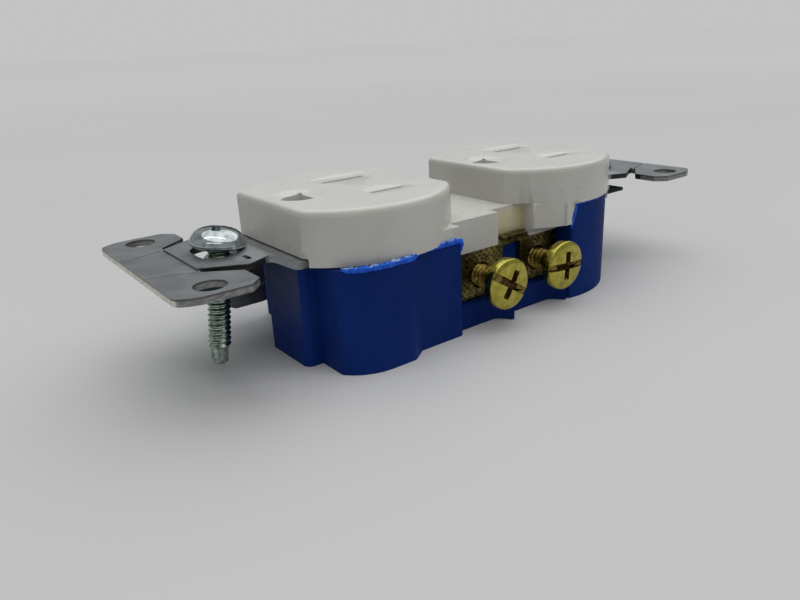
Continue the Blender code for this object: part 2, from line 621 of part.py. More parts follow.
def ground_contact(name, x):
    """Clip that grips a ground pin from both sides, riveted under the strap."""
    top = STRAP_UNDER - GAP
    start = x - CLIP_AHEAD
    outer = CLIP_MOUTH + CONTACT_THICK
    flange = (start + CLIP_WIDTH - CONTACT_WIDTH / 2, start + CLIP_WIDTH + CLIP_FLANGE)
    clip = block(name, flange, (-outer + OVERLAP / 4, outer - OVERLAP / 4), (top - CONTACT_THICK, top))
    for side in (-1, 1):
        leaf = [(start, CLIP_FOOT), (start + CLIP_WIDTH, CLIP_FOOT + CLIP_FOOT_RISE)]
        leaf += [(start + CLIP_WIDTH, top - OVERLAP / 4), (start, STRAP_UNDER - CLIP_MOUTH_DROP)]
        limits = sorted((side * CLIP_MOUTH, side * outer))
        join(clip, prism("leaf", leaf, limits[0], limits[1], "XZ"))
    rivet = start + CLIP_WIDTH + CLIP_FLANGE / 2
    cut(clip, rod("rivet", RIVET_RADIUS + GAP, (rivet, 0), 0, FACE_TOP))
    return finish(clip, (0.55, 0.40, 0.13), 0.36, 1.0)


def ground_rivet(name, x):
    """Domed rivet through the strap and the flange of a ground contact."""
    low = STRAP_UNDER - 2 * GAP - CONTACT_THICK
    high = STRAP_TOP + GAP
    foot, top = low - RIVET_DOME, high + RIVET_DOME
    profile = [(0, foot), (RIVET_CROWN, foot), (RIVET_HEAD, low - RIVET_EDGE), (RIVET_HEAD, low)]
    profile += [(RIVET_RADIUS, low), (RIVET_RADIUS, high), (RIVET_HEAD, high)]
    profile += [(RIVET_HEAD, high + RIVET_EDGE), (RIVET_CROWN, top), (0, top)]
    item = turned(name, profile, 24)
    item.location = (x, 0, 0)
    return finish(item, (0.40, 0.40, 0.38), 0.4, 1.0, smooth=True)


def neck_curve():
    """Smooth S from 0 to 1 along a neck, as (run, share) pairs."""
    shares = [step / NECK_STEPS for step in range(NECK_STEPS + 1)]
    return [(NECK_RUN * share, (1 - math.cos(math.pi * share)) / 2) for share in shares]


def strap_profile():
    """Side view of the strap: a low bar that steps up at each neck."""
    right = [(FACE_END + ROOT_RUN + run, STRAP_TOP + STRAP_STEP * share) for run, share in neck_curve()]
    right.append((STRAP_END + OVERLAP, TONGUE_TOP))
    top = [(-x, z) for x, z in reversed(right)] + right
    return top + [(x, z - STRAP_THICK) for x, z in reversed(top)]


def strap_end(tab_side):
    """Right half of the strap's outline, from the near side of its bar round to the far side."""
    root_in = FACE_END - ROOT_LAP
    root_out = FACE_END + ROOT_RUN
    wide = STRAP_END - TONGUE_BACK
    front = STRAP_END - TONGUE_FRONT + OVERLAP
    neck = [(root_out + run, -ROOT_HALF + (ROOT_HALF - NECK_HALF) * share) for run, share in neck_curve()]
    near = [(root_in, -tab_side), (root_in, -ROOT_HALF)] + neck
    near += [(wide, -TONGUE_HALF), (front, -TONGUE_END_HALF)]
    return near + mirrored(near)


def strap_outline():
    """Bar with its two ends, widened round the ground holes."""
    right = strap_end(BAR_HALF)
    left = turned_about(strap_end(PAD_HALF))
    low_pad = GROUND_X[0] + PAD_RUN
    high_pad = (GROUND_X[1] - PAD_RUN, GROUND_X[1] + PAD_RUN)
    near = [(low_pad, -PAD_HALF), (low_pad, -BAR_HALF), (high_pad[0], -BAR_HALF), (high_pad[0], -PAD_HALF)]
    near += [(high_pad[1], -PAD_HALF), (high_pad[1], -BAR_HALF)]
    return near + right + mirrored(near) + left


def ear_bar():
    """Right end of the strap: a bar with two break-off washers beside the tongue."""
    back = STRAP_END - EAR_LENGTH
    root = STRAP_END - TONGUE_FRONT - OVERLAP
    near = [(root, -EAR_ROOT), (back, -EAR_INNER), (back, -EAR_SIDE + EAR_CUT), (back + EAR_CUT, -EAR_SIDE)]
    near += [(STRAP_END - EAR_END_CUT, -EAR_SIDE), (STRAP_END, -EAR_END_HALF)]
    return near + mirrored(near)


def oblong(centre, half_width, length):
    """Outline of a slot with round ends, long in Y."""
    reach = length / 2 - half_width
    far = arc((centre[0], centre[1] + reach), half_width, 0, math.pi, 10)
    return far + arc((centre[0], centre[1] - reach), half_width, math.pi, 2 * math.pi, 10)


def score(end, side):
    """Groove along which an ear breaks off, as a cutter above the strap."""
    start = Vector((STRAP_END - TONGUE_FRONT - OVERLAP, EAR_ROOT + SCORE_WIDTH / 2))
    stop = Vector((STRAP_END + OVERLAP, SCORE_END))
    run = stop - start
    across = Vector((-run.y, run.x)).normalized() * SCORE_WIDTH / 2
    top = TONGUE_TOP - EAR_DROP
    shape = bmesh.new()
    corners = []
    for point in (start, stop):
        row = [(point - 2 * across, top + SCORE_DEPTH), (point + 2 * across, top + SCORE_DEPTH)]
        row.append((point, top - SCORE_DEPTH))
        corners.append([shape.verts.new((end * place.x, side * place.y, z)) for place, z in row])
    shape.faces.new(corners[0])
    shape.faces.new(corners[1])
    for step in range(3):
        after = (step + 1) % 3
        shape.faces.new([corners[0][step], corners[0][after], corners[1][after], corners[1][step]])
    return add_object("score", shape)


def ground_tab():
    """Tab bent down from the strap for the ground screw."""
    right = -LOBE_END - GROUND_TAB_IN
    left = right - GROUND_TAB_WIDTH
    outline = arc((left + GROUND_TAB_ROUND, GROUND_TAB_FOOT + GROUND_TAB_ROUND), GROUND_TAB_ROUND,
                  math.pi, 1.5 * math.pi, 6)
    outline += [(right, GROUND_TAB_FOOT), (right, STRAP_TOP - OVERLAP), (left, STRAP_TOP - OVERLAP)]
    return prism("tab", outline, GROUND_TAB_SIDE, GROUND_TAB_SIDE + STRAP_THICK, "XZ")


def mounting_strap():
    strap = prism("mounting_strap", strap_outline(), 0, FACE_TOP)
    combine(strap, prism("side_view", strap_profile(), -EAR_SIDE, EAR_SIDE, "XZ"), "INTERSECT")
    for end in (1, -1):
        outline = ear_bar() if end > 0 else turned_about(ear_bar())
        join(strap, prism("ears", outline, TONGUE_UNDER - EAR_DROP, TONGUE_TOP - EAR_DROP))
    collar_foot = STRAP_UNDER - COLLAR_DEPTH
    join(strap, rod("collar", COLLAR_RADIUS, (0, 0), collar_foot, STRAP_TOP - OVERLAP))
    join(strap, ground_tab())
    cut(strap, rod("plate_thread", COLLAR_BORE, (0, 0), 0, FACE_TOP))
    for x, rivet in zip(GROUND_X, RIVET_X):
        cut(strap, rod("pin_way", PIN_HOLE, (x, 0), 0, FACE_TOP))
        cut(strap, rod("rivet_way", RIVET_RADIUS + GAP, (rivet, 0), 0, FACE_TOP, steps=24))
    for end in (-1, 1):
        slot = oblong((end * MOUNT_X, 0), MOUNT_SLOT_HALF, MOUNT_SLOT_LENGTH)
        cut(strap, prism("mount_slot", slot, 0, FACE_TOP))
        key = (end * (MOUNT_X - KEY_SLOT_PLACE[0]), end * KEY_SLOT_PLACE[1])
        cut(strap, prism("key_slot", oblong(key, KEY_SLOT[0] / 2, KEY_SLOT[1]), 0, FACE_TOP))
        for side in (-1, 1):
            hole = (end * (STRAP_END - EAR_HOLE_BACK), side * EAR_HOLE_SIDE)
            cut(strap, rod("ear_hole", EAR_HOLE, hole, 0, FACE_TOP))
            cut(strap, score(end, side))
    screw_axis = (GROUND_SCREW_X, GROUND_SCREW_HEIGHT)
    cut(strap, rod("ground_way", GROUND_SCREW_RADIUS + GAP, screw_axis, 0, 2 * GROUND_TAB_SIDE, "XZ"))
    return finish(strap, (0.24, 0.25, 0.255), 0.45, 0.9)


def cross_recess(item, head, top):
    """Straight slot right across a head, with a shorter one square to it."""
    half = SCREW_SLOT / 2
    high = top + SCREW_SLOT_DEPTH
    low = top - SCREW_SLOT_DEPTH
    arm = CROSS_LENGTH / 2
    outline = [(-2 * head, -half), (-half, -half), (-half, -arm), (half, -arm)]
    outline += [(half, -half), (2 * head, -half)]
    cut(item, prism("recess", outline + turned_about(outline), low, high))


def crown(radius, flat, low, high, steps):
    """Rounded top of a head, from its rim to its flat, as (radius, height) points."""
    turn = [math.pi / 2 * step / steps for step in range(steps)]
    points = [(flat + (radius - flat) * math.cos(a), low + (high - low) * math.sin(a)) for a in turn]
    return points + [(flat, high)]


def shank(radius, length):
    """Lower half of a screw's profile, from its chamfered end to the head."""
    chamfer = [(radius - SCREW_CHAMFER, -length), (radius, SCREW_CHAMFER - length)]
    return [(0, -length)] + chamfer + [(radius, 0)]


def terminal_screw(name, x, side, colour):
    """Binding-head screw, backed out; its own Z axis runs out of the part."""
    profile = shank(SCREW_RADIUS, SCREW_OUT + SCREW_PAST)
    profile += [(SCREW_HEAD - SCREW_EDGE, 0), (SCREW_HEAD, SCREW_EDGE)]
    profile += crown(SCREW_HEAD, SCREW_FLAT, SCREW_RIM, SCREW_HEAD_HEIGHT, 3)
    profile.append((0, SCREW_HEAD_HEIGHT))
    item = turned(name, profile)
    cross_recess(item, SCREW_HEAD, SCREW_HEAD_HEIGHT)
    item.rotation_euler = (math.copysign(math.pi / 2, -side), 0, 0)
    item.location = (x, side * (PLATE_OUT + SCREW_OUT), TERMINAL_AXIS)
    return finish(item, colour, 0.27, 1.0, smooth=True)


def ground_screw():
    """Hex washer-head screw, backed out of the strap's tab."""
    thick, edge = GROUND_FLANGE_THICK, GROUND_FLANGE_EDGE
    profile = shank(GROUND_SCREW_RADIUS, GROUND_SCREW_LENGTH)
    profile += [(GROUND_FLANGE, 0), (GROUND_FLANGE, thick - edge), (GROUND_FLANGE - edge, thick), (0, thick)]
    item = turned("ground_screw", profile)
    corner = GROUND_HEX / math.cos(math.pi / 6)
    hexagon = arc((0, 0), corner, GROUND_HEX_TURN, GROUND_HEX_TURN + 2 * math.pi, 6)[:-1]
    top = thick + GROUND_HEX_HEIGHT
    join(item, prism("hex", hexagon, thick / 2, top))
    slot = (-SCREW_SLOT / 2, SCREW_SLOT / 2)
    cut(item, block("slot", (-2 * GROUND_HEX, 2 * GROUND_HEX), slot, (top - SCREW_SLOT_DEPTH, 2 * top)))
    item.rotation_euler = (-math.pi / 2, 0, 0)
    item.location = (GROUND_SCREW_X, GROUND_TAB_SIDE + STRAP_THICK + GROUND_SCREW_OUT, GROUND_SCREW_HEIGHT)
    return finish(item, (0.03, 0.22, 0.07), 0.35, 0.8, smooth=True)


def hang(item, x, lean):
    """Places a mounting screw or its washer in a slot; a leaning screw rests on the edge of its head."""
    shift = LOWER_SHIFT if lean else 0
    item.rotation_euler = (0, lean, 0)
    item.location = (x + shift, 0, TONGUE_TOP + GAP + MOUNT_HEAD * math.sin(lean))


def mounting_screw(name, x, lean):
    """Truss-head box screw, hanging in its slot with a dog point below."""
    point = MOUNT_POINT_RADIUS
    thread_end = MOUNT_POINT - MOUNT_LENGTH
    profile = [(0, -MOUNT_LENGTH), (point, -MOUNT_LENGTH), (point, thread_end)]
    profile += [(MOUNT_RADIUS, thread_end + MOUNT_TAPER), (MOUNT_RADIUS, 0), (MOUNT_HEAD, 0)]
    profile += crown(MOUNT_HEAD, 0, MOUNT_RIM, MOUNT_DOME, 6)
    item = turned(name, profile)
    cross_recess(item, MOUNT_HEAD, MOUNT_DOME)
    hang(item, x, lean)
    return finish(item, (0.50, 0.53, 0.54), 0.2, 1.0, smooth=True)


def retainer_washer(name, x, lean):
    """Square fibre washer that keeps a mounting screw in its slot."""
    half = WASHER_SIDE / 2
    top = -STRAP_THICK - WASHER_DROP
    washer = block(name, (-half, half), (-half, half), (top - WASHER_THICK, top))
    cut(washer, rod("thread_way", MOUNT_RADIUS + GAP, (0, 0), -MOUNT_LENGTH, 0))
    hang(washer, x, lean)
    return finish(washer, (0.012, 0.035, 0.03), 0.8)


def main():
    clear_scene()
    back_body()
    face_cover()
    mounting_strap()
    brass = (0.58, 0.42, 0.13)
    silver = (0.52, 0.52, 0.50)
    bus("hot_bus", -1, brass)
    bus("neutral_bus", 1, brass)
    for place, ground, rivet, screw, mount, lean in (
        ("lower", GROUND_X[0], RIVET_X[0], SCREW_X[0], -MOUNT_X, LOWER_LEAN),
        ("upper", GROUND_X[1], RIVET_X[1], SCREW_X[1], MOUNT_X, 0.0),
    ):
        ground_contact("ground_contact_" + place, ground)
        ground_rivet("ground_rivet_" + place, rivet)
        terminal_screw("hot_screw_" + place, screw, -1, brass)
        terminal_screw("neutral_screw_" + place, screw, 1, silver)
        mounting_screw("mounting_screw_" + place, mount, lean)
        retainer_washer("retainer_washer_" + place, mount, lean)
    ground_screw()


main()
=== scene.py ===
import math

import bmesh
import bpy
from mathutils import Matrix, Vector, noise


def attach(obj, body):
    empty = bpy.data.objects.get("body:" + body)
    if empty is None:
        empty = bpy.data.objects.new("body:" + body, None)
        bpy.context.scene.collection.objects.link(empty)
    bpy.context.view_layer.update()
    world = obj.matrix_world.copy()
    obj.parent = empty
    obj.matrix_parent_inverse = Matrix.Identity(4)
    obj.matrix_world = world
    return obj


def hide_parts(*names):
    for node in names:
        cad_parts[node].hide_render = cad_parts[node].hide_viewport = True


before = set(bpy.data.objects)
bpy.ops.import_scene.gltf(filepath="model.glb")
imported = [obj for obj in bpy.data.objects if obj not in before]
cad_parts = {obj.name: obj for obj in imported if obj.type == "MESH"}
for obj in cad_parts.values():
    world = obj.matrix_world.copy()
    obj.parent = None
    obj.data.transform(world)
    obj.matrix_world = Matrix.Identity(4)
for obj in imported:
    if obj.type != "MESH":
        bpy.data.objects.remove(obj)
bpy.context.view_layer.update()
print("frame loaded")

mm = 0.001


# small tools that every piece uses

def pickOnly(obj):
    if bpy.context.object and bpy.context.object.mode != "OBJECT":
        bpy.ops.object.mode_set(mode="OBJECT")
    bpy.ops.object.select_all(action="DESELECT")
    obj.select_set(True)
    bpy.context.view_layer.objects.active = obj


def editAll(obj):
    pickOnly(obj)
    bpy.ops.object.mode_set(mode="EDIT")
    bpy.ops.mesh.select_mode(type="VERT")
    bpy.ops.mesh.select_all(action="SELECT")


def leaveEdit():
    bpy.ops.object.mode_set(mode="OBJECT")


def applyAll(obj):
    pickOnly(obj)
    for modifier in list(obj.modifiers):
        bpy.ops.object.modifier_apply(modifier=modifier.name)


def freeze(obj):
    pickOnly(obj)
    bpy.ops.object.transform_apply(location=True, rotation=True, scale=True)


def smoothByAngle(obj, degrees=32):
    pickOnly(obj)
    bpy.ops.object.shade_smooth_by_angle(angle=math.radians(degrees))
    flat = obj.modifiers.new("flatFaces", "WEIGHTED_NORMAL")
    flat.keep_sharp = True
    flat.weight = 100
    applyAll(obj)


def nodeCopy(node, name, mergeAt=0.004 * mm):
    obj = bpy.data.objects.new(name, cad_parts[node].data.copy())
    bpy.context.scene.collection.objects.link(obj)
    editAll(obj)
    bpy.ops.mesh.remove_doubles(threshold=mergeAt)
    bpy.ops.mesh.dissolve_limited(angle_limit=math.radians(0.5))
    leaveEdit()
    return obj


def roundEdges(obj, width, choose=None, degrees=35, segments=2,
               least=(0.5 * mm, 0.4 * mm * mm)):   # shortest edge and smallest face that count
    shape = bmesh.new()
    shape.from_mesh(obj.data)
    weight = shape.edges.layers.float.new("bevel_weight_edge")
    for edge in shape.edges:
        if len(edge.link_faces) != 2 or not edge.is_convex:
            continue
        smallest = min(face.calc_area() for face in edge.link_faces)
        small = edge.calc_length() < least[0] or smallest < least[1]
        middle = (edge.verts[0].co + edge.verts[1].co) / 2
        run = (edge.verts[1].co - edge.verts[0].co).normalized()
        if edge.calc_face_angle() > math.radians(degrees) and not small:
            if choose is None or choose(middle, run):
                edge[weight] = 1
    shape.to_mesh(obj.data)
    shape.free()
    bevel = obj.modifiers.new("roundEdges", "BEVEL")
    bevel.width = width
    bevel.segments = segments
    bevel.limit_method = "WEIGHT"
    bevel.use_clamp_overlap = False
    applyAll(obj)


def combine(obj, tool, operation="DIFFERENCE"):
    boolean = obj.modifiers.new("combine", "BOOLEAN")
    boolean.object = tool
    boolean.operation = operation
    boolean.solver = "EXACT"
    applyAll(obj)
    bpy.data.objects.remove(tool, do_unlink=True)


def polyline(name, points):
    mesh = bpy.data.meshes.new(name)
    mesh.from_pydata(points, [(i, i + 1) for i in range(len(points) - 1)], [])
    obj = bpy.data.objects.new(name, mesh)
    bpy.context.scene.collection.objects.link(obj)
    return obj


def turnedPiece(name, profile, steps=48):
    obj = polyline(name, [(radius, 0, height) for radius, height in profile])
    editAll(obj)
    bpy.ops.mesh.spin(steps=steps, angle=2 * math.pi, center=(0, 0, 0), axis=(0, 0, 1))
    bpy.ops.mesh.select_all(action="SELECT")
    bpy.ops.mesh.remove_doubles(threshold=0.001 * mm)
    bpy.ops.mesh.normals_make_consistent(inside=False)
    leaveEdit()
    return obj


def threadedRod(name, root, crest, pitch, low, high, steps=28):
    teeth = int((high - low) / pitch) + 4
    points = []
    for tooth in range(teeth):
        foot = low - 2 * pitch + tooth * pitch
        points += [(root, 0, foot), (root, 0, foot + 0.12 * pitch)]
        points += [(crest, 0, foot + 0.5 * pitch), (crest, 0, foot + 0.62 * pitch)]
    obj = polyline(name, points)
    turn = obj.modifiers.new("helix", "SCREW")
    turn.axis = "Z"
    turn.angle = 2 * math.pi
    turn.screw_offset = pitch
    turn.iterations = 1
    turn.steps = steps
    turn.render_steps = steps
    applyAll(obj)
    editAll(obj)
    bpy.ops.mesh.remove_doubles(threshold=0.002 * mm)
    for height, keepAbove in ((low, True), (high, False)):
        bpy.ops.mesh.select_all(action="SELECT")
        bpy.ops.mesh.bisect(plane_co=(0, 0, height), plane_no=(0, 0, 1), use_fill=True,
                            clear_inner=keepAbove, clear_outer=not keepAbove, threshold=0.0005 * mm)
    bpy.ops.mesh.select_all(action="SELECT")
    bpy.ops.mesh.normals_make_consistent(inside=False)
    leaveEdit()
    return obj


def boxPiece(name, size, place, bottomScale=None):
    bpy.ops.object.select_all(action="DESELECT")
    bpy.ops.mesh.primitive_cube_add(size=1, location=place)
    obj = bpy.context.object
    obj.name = name
    obj.scale = size
    freeze(obj)
    if bottomScale:
        low = min(vertex.co.z for vertex in obj.data.vertices)
        for vertex in obj.data.vertices:
            if vertex.co.z < low + 1e-6:
                vertex.co.x = place[0] + (vertex.co.x - place[0]) * bottomScale[0]
                vertex.co.y = place[1] + (vertex.co.y - place[1]) * bottomScale[1]
    return obj


def settle(obj, body, nodes, slot, *finishes):
    parts = [polygon.material_index if len(finishes) > 1 else 0 for polygon in obj.data.polygons]
    obj.data.materials.clear()
    for finish in finishes:
        obj.data.materials.append(finish)
    obj.data.polygons.foreach_set("material_index", parts)
    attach(obj, body)
    if nodes:
        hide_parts(*nodes)


# materials

def newMaterial(name, colour, roughness, metallic=0.0, specular=0.5):
    material = bpy.data.materials.new(name)
    material.use_nodes = True
    nodes, links = material.node_tree.nodes, material.node_tree.links
    shader = nodes["Principled BSDF"]
    shader.inputs["Base Color"].default_value = (*colour, 1)
    shader.inputs["Roughness"].default_value = roughness
    shader.inputs["Metallic"].default_value = metallic
    shader.inputs["Specular IOR Level"].default_value = specular
    return material, Weave(nodes, links, shader)


class Weave:
    def __init__(self, nodes, links, shader):
        self.nodes, self.links, self.shader = nodes, links, shader
        self.place = nodes.new("ShaderNodeTexCoord")
        split = nodes.new("ShaderNodeSeparateXYZ")
        links.new(self.place.outputs["Object"], split.inputs[0])
        self.x, self.y, self.z = split.outputs
        self.side = self.maths("ABSOLUTE", self.y)
        self.reach = self.maths("ABSOLUTE", self.x)

    def set(self, socket, value):
        if hasattr(value, "is_linked"):
            self.links.new(value, socket)
        elif isinstance(value, tuple):
            socket.default_value = (*value, 1)
        else:
            socket.default_value = value

    def into(self, name, value):
        self.set(self.shader.inputs[name], value)

    def maths(self, operation, first, second=0.0, third=0.0):
        node = self.nodes.new("ShaderNodeMath")
        node.operation = operation
        for socket, value in zip(node.inputs, (first, second, third)):
            self.set(socket, value)
        return node.outputs[0]

    def noise(self, scale, detail=3.0, stretch=None):
        texture = self.nodes.new("ShaderNodeTexNoise")
        texture.inputs["Scale"].default_value = scale
        texture.inputs["Detail"].default_value = detail
        source = self.place.outputs["Object"]
        if stretch:
            mapping = self.nodes.new("ShaderNodeMapping")
            mapping.inputs["Scale"].default_value = stretch
            self.links.new(source, mapping.inputs["Vector"])
            source = mapping.outputs["Vector"]
        self.links.new(source, texture.inputs["Vector"])
        return texture.outputs["Fac"]

    def cells(self, scale):
        texture = self.nodes.new("ShaderNodeTexVoronoi")
        texture.inputs["Scale"].default_value = scale
        self.links.new(self.place.outputs["Object"], texture.inputs["Vector"])
        split = self.nodes.new("ShaderNodeSeparateColor")
        self.links.new(texture.outputs["Color"], split.inputs[0])
        return split.outputs[0]

    def ramp(self, value, *stops):
        ramp = self.nodes.new("ShaderNodeValToRGB")
        while len(ramp.color_ramp.elements) < len(stops):
            ramp.color_ramp.elements.new(0.5)
        for element, (position, colour) in zip(ramp.color_ramp.elements, stops):
            element.position = position
            element.color = (*colour, 1) if isinstance(colour, tuple) else (colour, colour, colour, 1)
        self.links.new(value, ramp.inputs["Fac"])
        return ramp.outputs["Color"]

    def fade(self, value, start, end):
        spread = self.nodes.new("ShaderNodeMapRange")
        spread.interpolation_type = "SMOOTHSTEP"
        self.set(spread.inputs["Value"], value)
        spread.inputs["From Min"].default_value = start
        spread.inputs["From Max"].default_value = end
        return spread.outputs["Result"]

    def both(self, *masks):
        result = masks[0]
        for mask in masks[1:]:
            result = self.maths("MULTIPLY", result, mask)
        return result

    def mix(self, factor, first, second, blend="MIX"):
        mix = self.nodes.new("ShaderNodeMix")
        mix.data_type = "RGBA"
        mix.blend_type = blend
        self.set(mix.inputs[0], factor)
        self.set(mix.inputs[6], first)
        self.set(mix.inputs[7], second)
        return mix.outputs[2]

    def bump(self, height, distance):
        bump = self.nodes.new("ShaderNodeBump")
        bump.inputs["Distance"].default_value = distance
        self.links.new(height, bump.inputs["Height"])
        self.into("Normal", bump.outputs["Normal"])

    def apart(self, value, middle):
        return self.maths("ABSOLUTE", self.maths("SUBTRACT", value, middle))

    def openings(self):   # round the slots and the ground hole of each face
        along = self.apart(self.apart(self.x, -1.2 * mm), 19.45 * mm)
        return self.both(self.fade(along, 11.6 * mm, 11.2 * mm), self.fade(self.side, 8.2 * mm, 8.0 * mm))

    def facing(self, axis):
        normal = self.nodes.new("ShaderNodeSeparateXYZ")
        self.links.new(self.place.outputs["Normal"], normal.inputs[0])
        return self.maths("ABSOLUTE", normal.outputs[axis])


whiteSpec = {
    # walls take a painted shade and tops a painted light, set by which way each face points
    "shadedWalls": ((0.495, 0.486, 0.445), (0.53, 0.52, 0.48)),
    "litTops": ((0.70, 0.69, 0.645), (0.735, 0.725, 0.68)),
    "speck": (0.07, 0.065, 0.055),
    "scuff": (0.36, 0.35, 0.32),
    "notch": ((0.62, 0.56, 0.30), 0.75),   # colour and share of the painted warm light inside the notch
    "inside": (0.74, 0.73, 0.69),   # painted light on the walls of the openings
    "gloss": (0.26, 0.34),
}


def whitePlastic():
    material, weave = newMaterial("whitePlastic", (0.56, 0.55, 0.51), 0.3, specular=0.5)
    shadedWalls, litTops = (weave.ramp(weave.noise(150, 4), (0.35, whiteSpec[part][0]), (0.65, whiteSpec[part][1]))
                   for part in ("shadedWalls", "litTops"))
    # painted shade on the walls and painted light on the tops, by how far each face tilts upward
    tone = weave.mix(weave.fade(weave.facing(2), 0.55, 0.95), shadedWalls, litTops)
    dots = weave.ramp(weave.noise(3000, 1), (0.70, 0.0), (0.725, 1.0))
    strapLine = weave.both(weave.fade(weave.reach, 30.5 * mm, 32.4 * mm),
                           weave.fade(weave.z, 19.2 * mm, 17.4 * mm))
    rim = weave.both(weave.fade(weave.noise(210, 2), 0.60, 0.66), weave.fade(weave.z, 23.6 * mm, 22.6 * mm))
    specks = weave.both(dots, weave.maths("MAXIMUM", strapLine, rim))
    colour = weave.mix(specks, tone, whiteSpec["speck"])
    scuff = weave.both(weave.ramp(weave.noise(1100, 3, (0.35, 0.35, 2.2)), (0.64, 0.0), (0.78, 0.2)),
                       weave.fade(weave.noise(95, 1), 0.52, 0.60))
    colour = weave.mix(scuff, colour, whiteSpec["scuff"])
    # painted warm light on the cover inside the notch
    notch = weave.both(weave.maths("COMPARE", weave.x, 5.4 * mm, 3.9 * mm),
                       weave.maths("COMPARE", weave.side, 10.9 * mm, 0.5 * mm),
                       weave.fade(weave.z, 18.2 * mm, 16.6 * mm))
    notchTone, share = whiteSpec["notch"]
    colour = weave.mix(weave.maths("MULTIPLY", notch, share), colour, notchTone)
    # painted light on the walls of the slots and the ground hole, against the shade that falls there
    inside = weave.both(weave.fade(weave.z, 23.6 * mm, 23.3 * mm), weave.fade(weave.z, 19.5 * mm, 20.5 * mm),
                        weave.fade(weave.facing(2), 0.9, 0.6), weave.openings())
    weave.into("Base Color", weave.mix(inside, colour, whiteSpec["inside"]))
    weave.into("Roughness", weave.ramp(weave.noise(420, 3), *zip((0.3, 0.7), whiteSpec["gloss"])))
    weave.bump(weave.noise(1000, 2), 0.003 * mm)
    return material


blueSpec = {
    "tone": ((0.002, 0.017, 0.118), (0.005, 0.028, 0.17)),
    "rub": (0.03, 0.065, 0.22),
    "endSheen": ((0.07, 0.08, 0.12), 0.62),   # colour and share, on the wall at the ground end
    "gloss": (0.52, 0.66),
}


def bluePlastic():
    material, weave = newMaterial("bluePlastic", (0.007, 0.024, 0.14), 0.58, specular=0.07)
    tone = weave.ramp(weave.noise(140, 3, (1, 1, 0.4)), *zip((0.3, 0.7), blueSpec["tone"]))
    rub = weave.ramp(weave.noise(1500, 3, (1, 1, 0.5)), (0.66, 0.0), (0.78, 0.45))
    colour = weave.mix(rub, tone, blueSpec["rub"])
    endWall = weave.both(weave.fade(weave.x, -32.9 * mm, -33.1 * mm), weave.fade(weave.z, 3 * mm, 14 * mm))
    sheen, share = blueSpec["endSheen"]
    colour = weave.mix(weave.maths("MULTIPLY", endWall, share), colour, sheen)
    weave.into("Base Color", colour)
    weave.into("Roughness", weave.ramp(weave.noise(500, 3), *zip((0.3, 0.7), blueSpec["gloss"])))
    weave.bump(weave.noise(1500, 2), 0.01 * mm)
    return material


scoreSpec = {
    "start": (45.8 * mm, 7.15 * mm),   # a point on the ears' score line
    "across": (0.307, 0.952),   # direction square to it
}
steelSpec = {
    "cloud": ((0.235, 0.25, 0.258), (0.295, 0.31, 0.32)),
    "neckHighlight": ((0.50, 0.52, 0.53), 0.7),   # colour and share of the painted highlight on the neck
    "pit": (0.035, 0.038, 0.04),
    "score": ((0.06, 0.062, 0.065), 0.8),
    "cutEdge": ((0.15, 0.155, 0.15), (0.27, 0.275, 0.265)),
    # painted cream light on the strap's end faces
    "litEndEdge": ((0.50, 0.49, 0.43), (0.74, 0.72, 0.63)),
    # painted shade along the top of the edge faces
    "edgeTopShade": ((0.06, 0.06, 0.06), 0.75),
    "slitShadow": ((0.012, 0.012, 0.012), 0.93),   # painted shadow inside the slits
    "gloss": (0.36, 0.5),
    "metal": 0.85, "cutMetalLoss": 0.45,
}


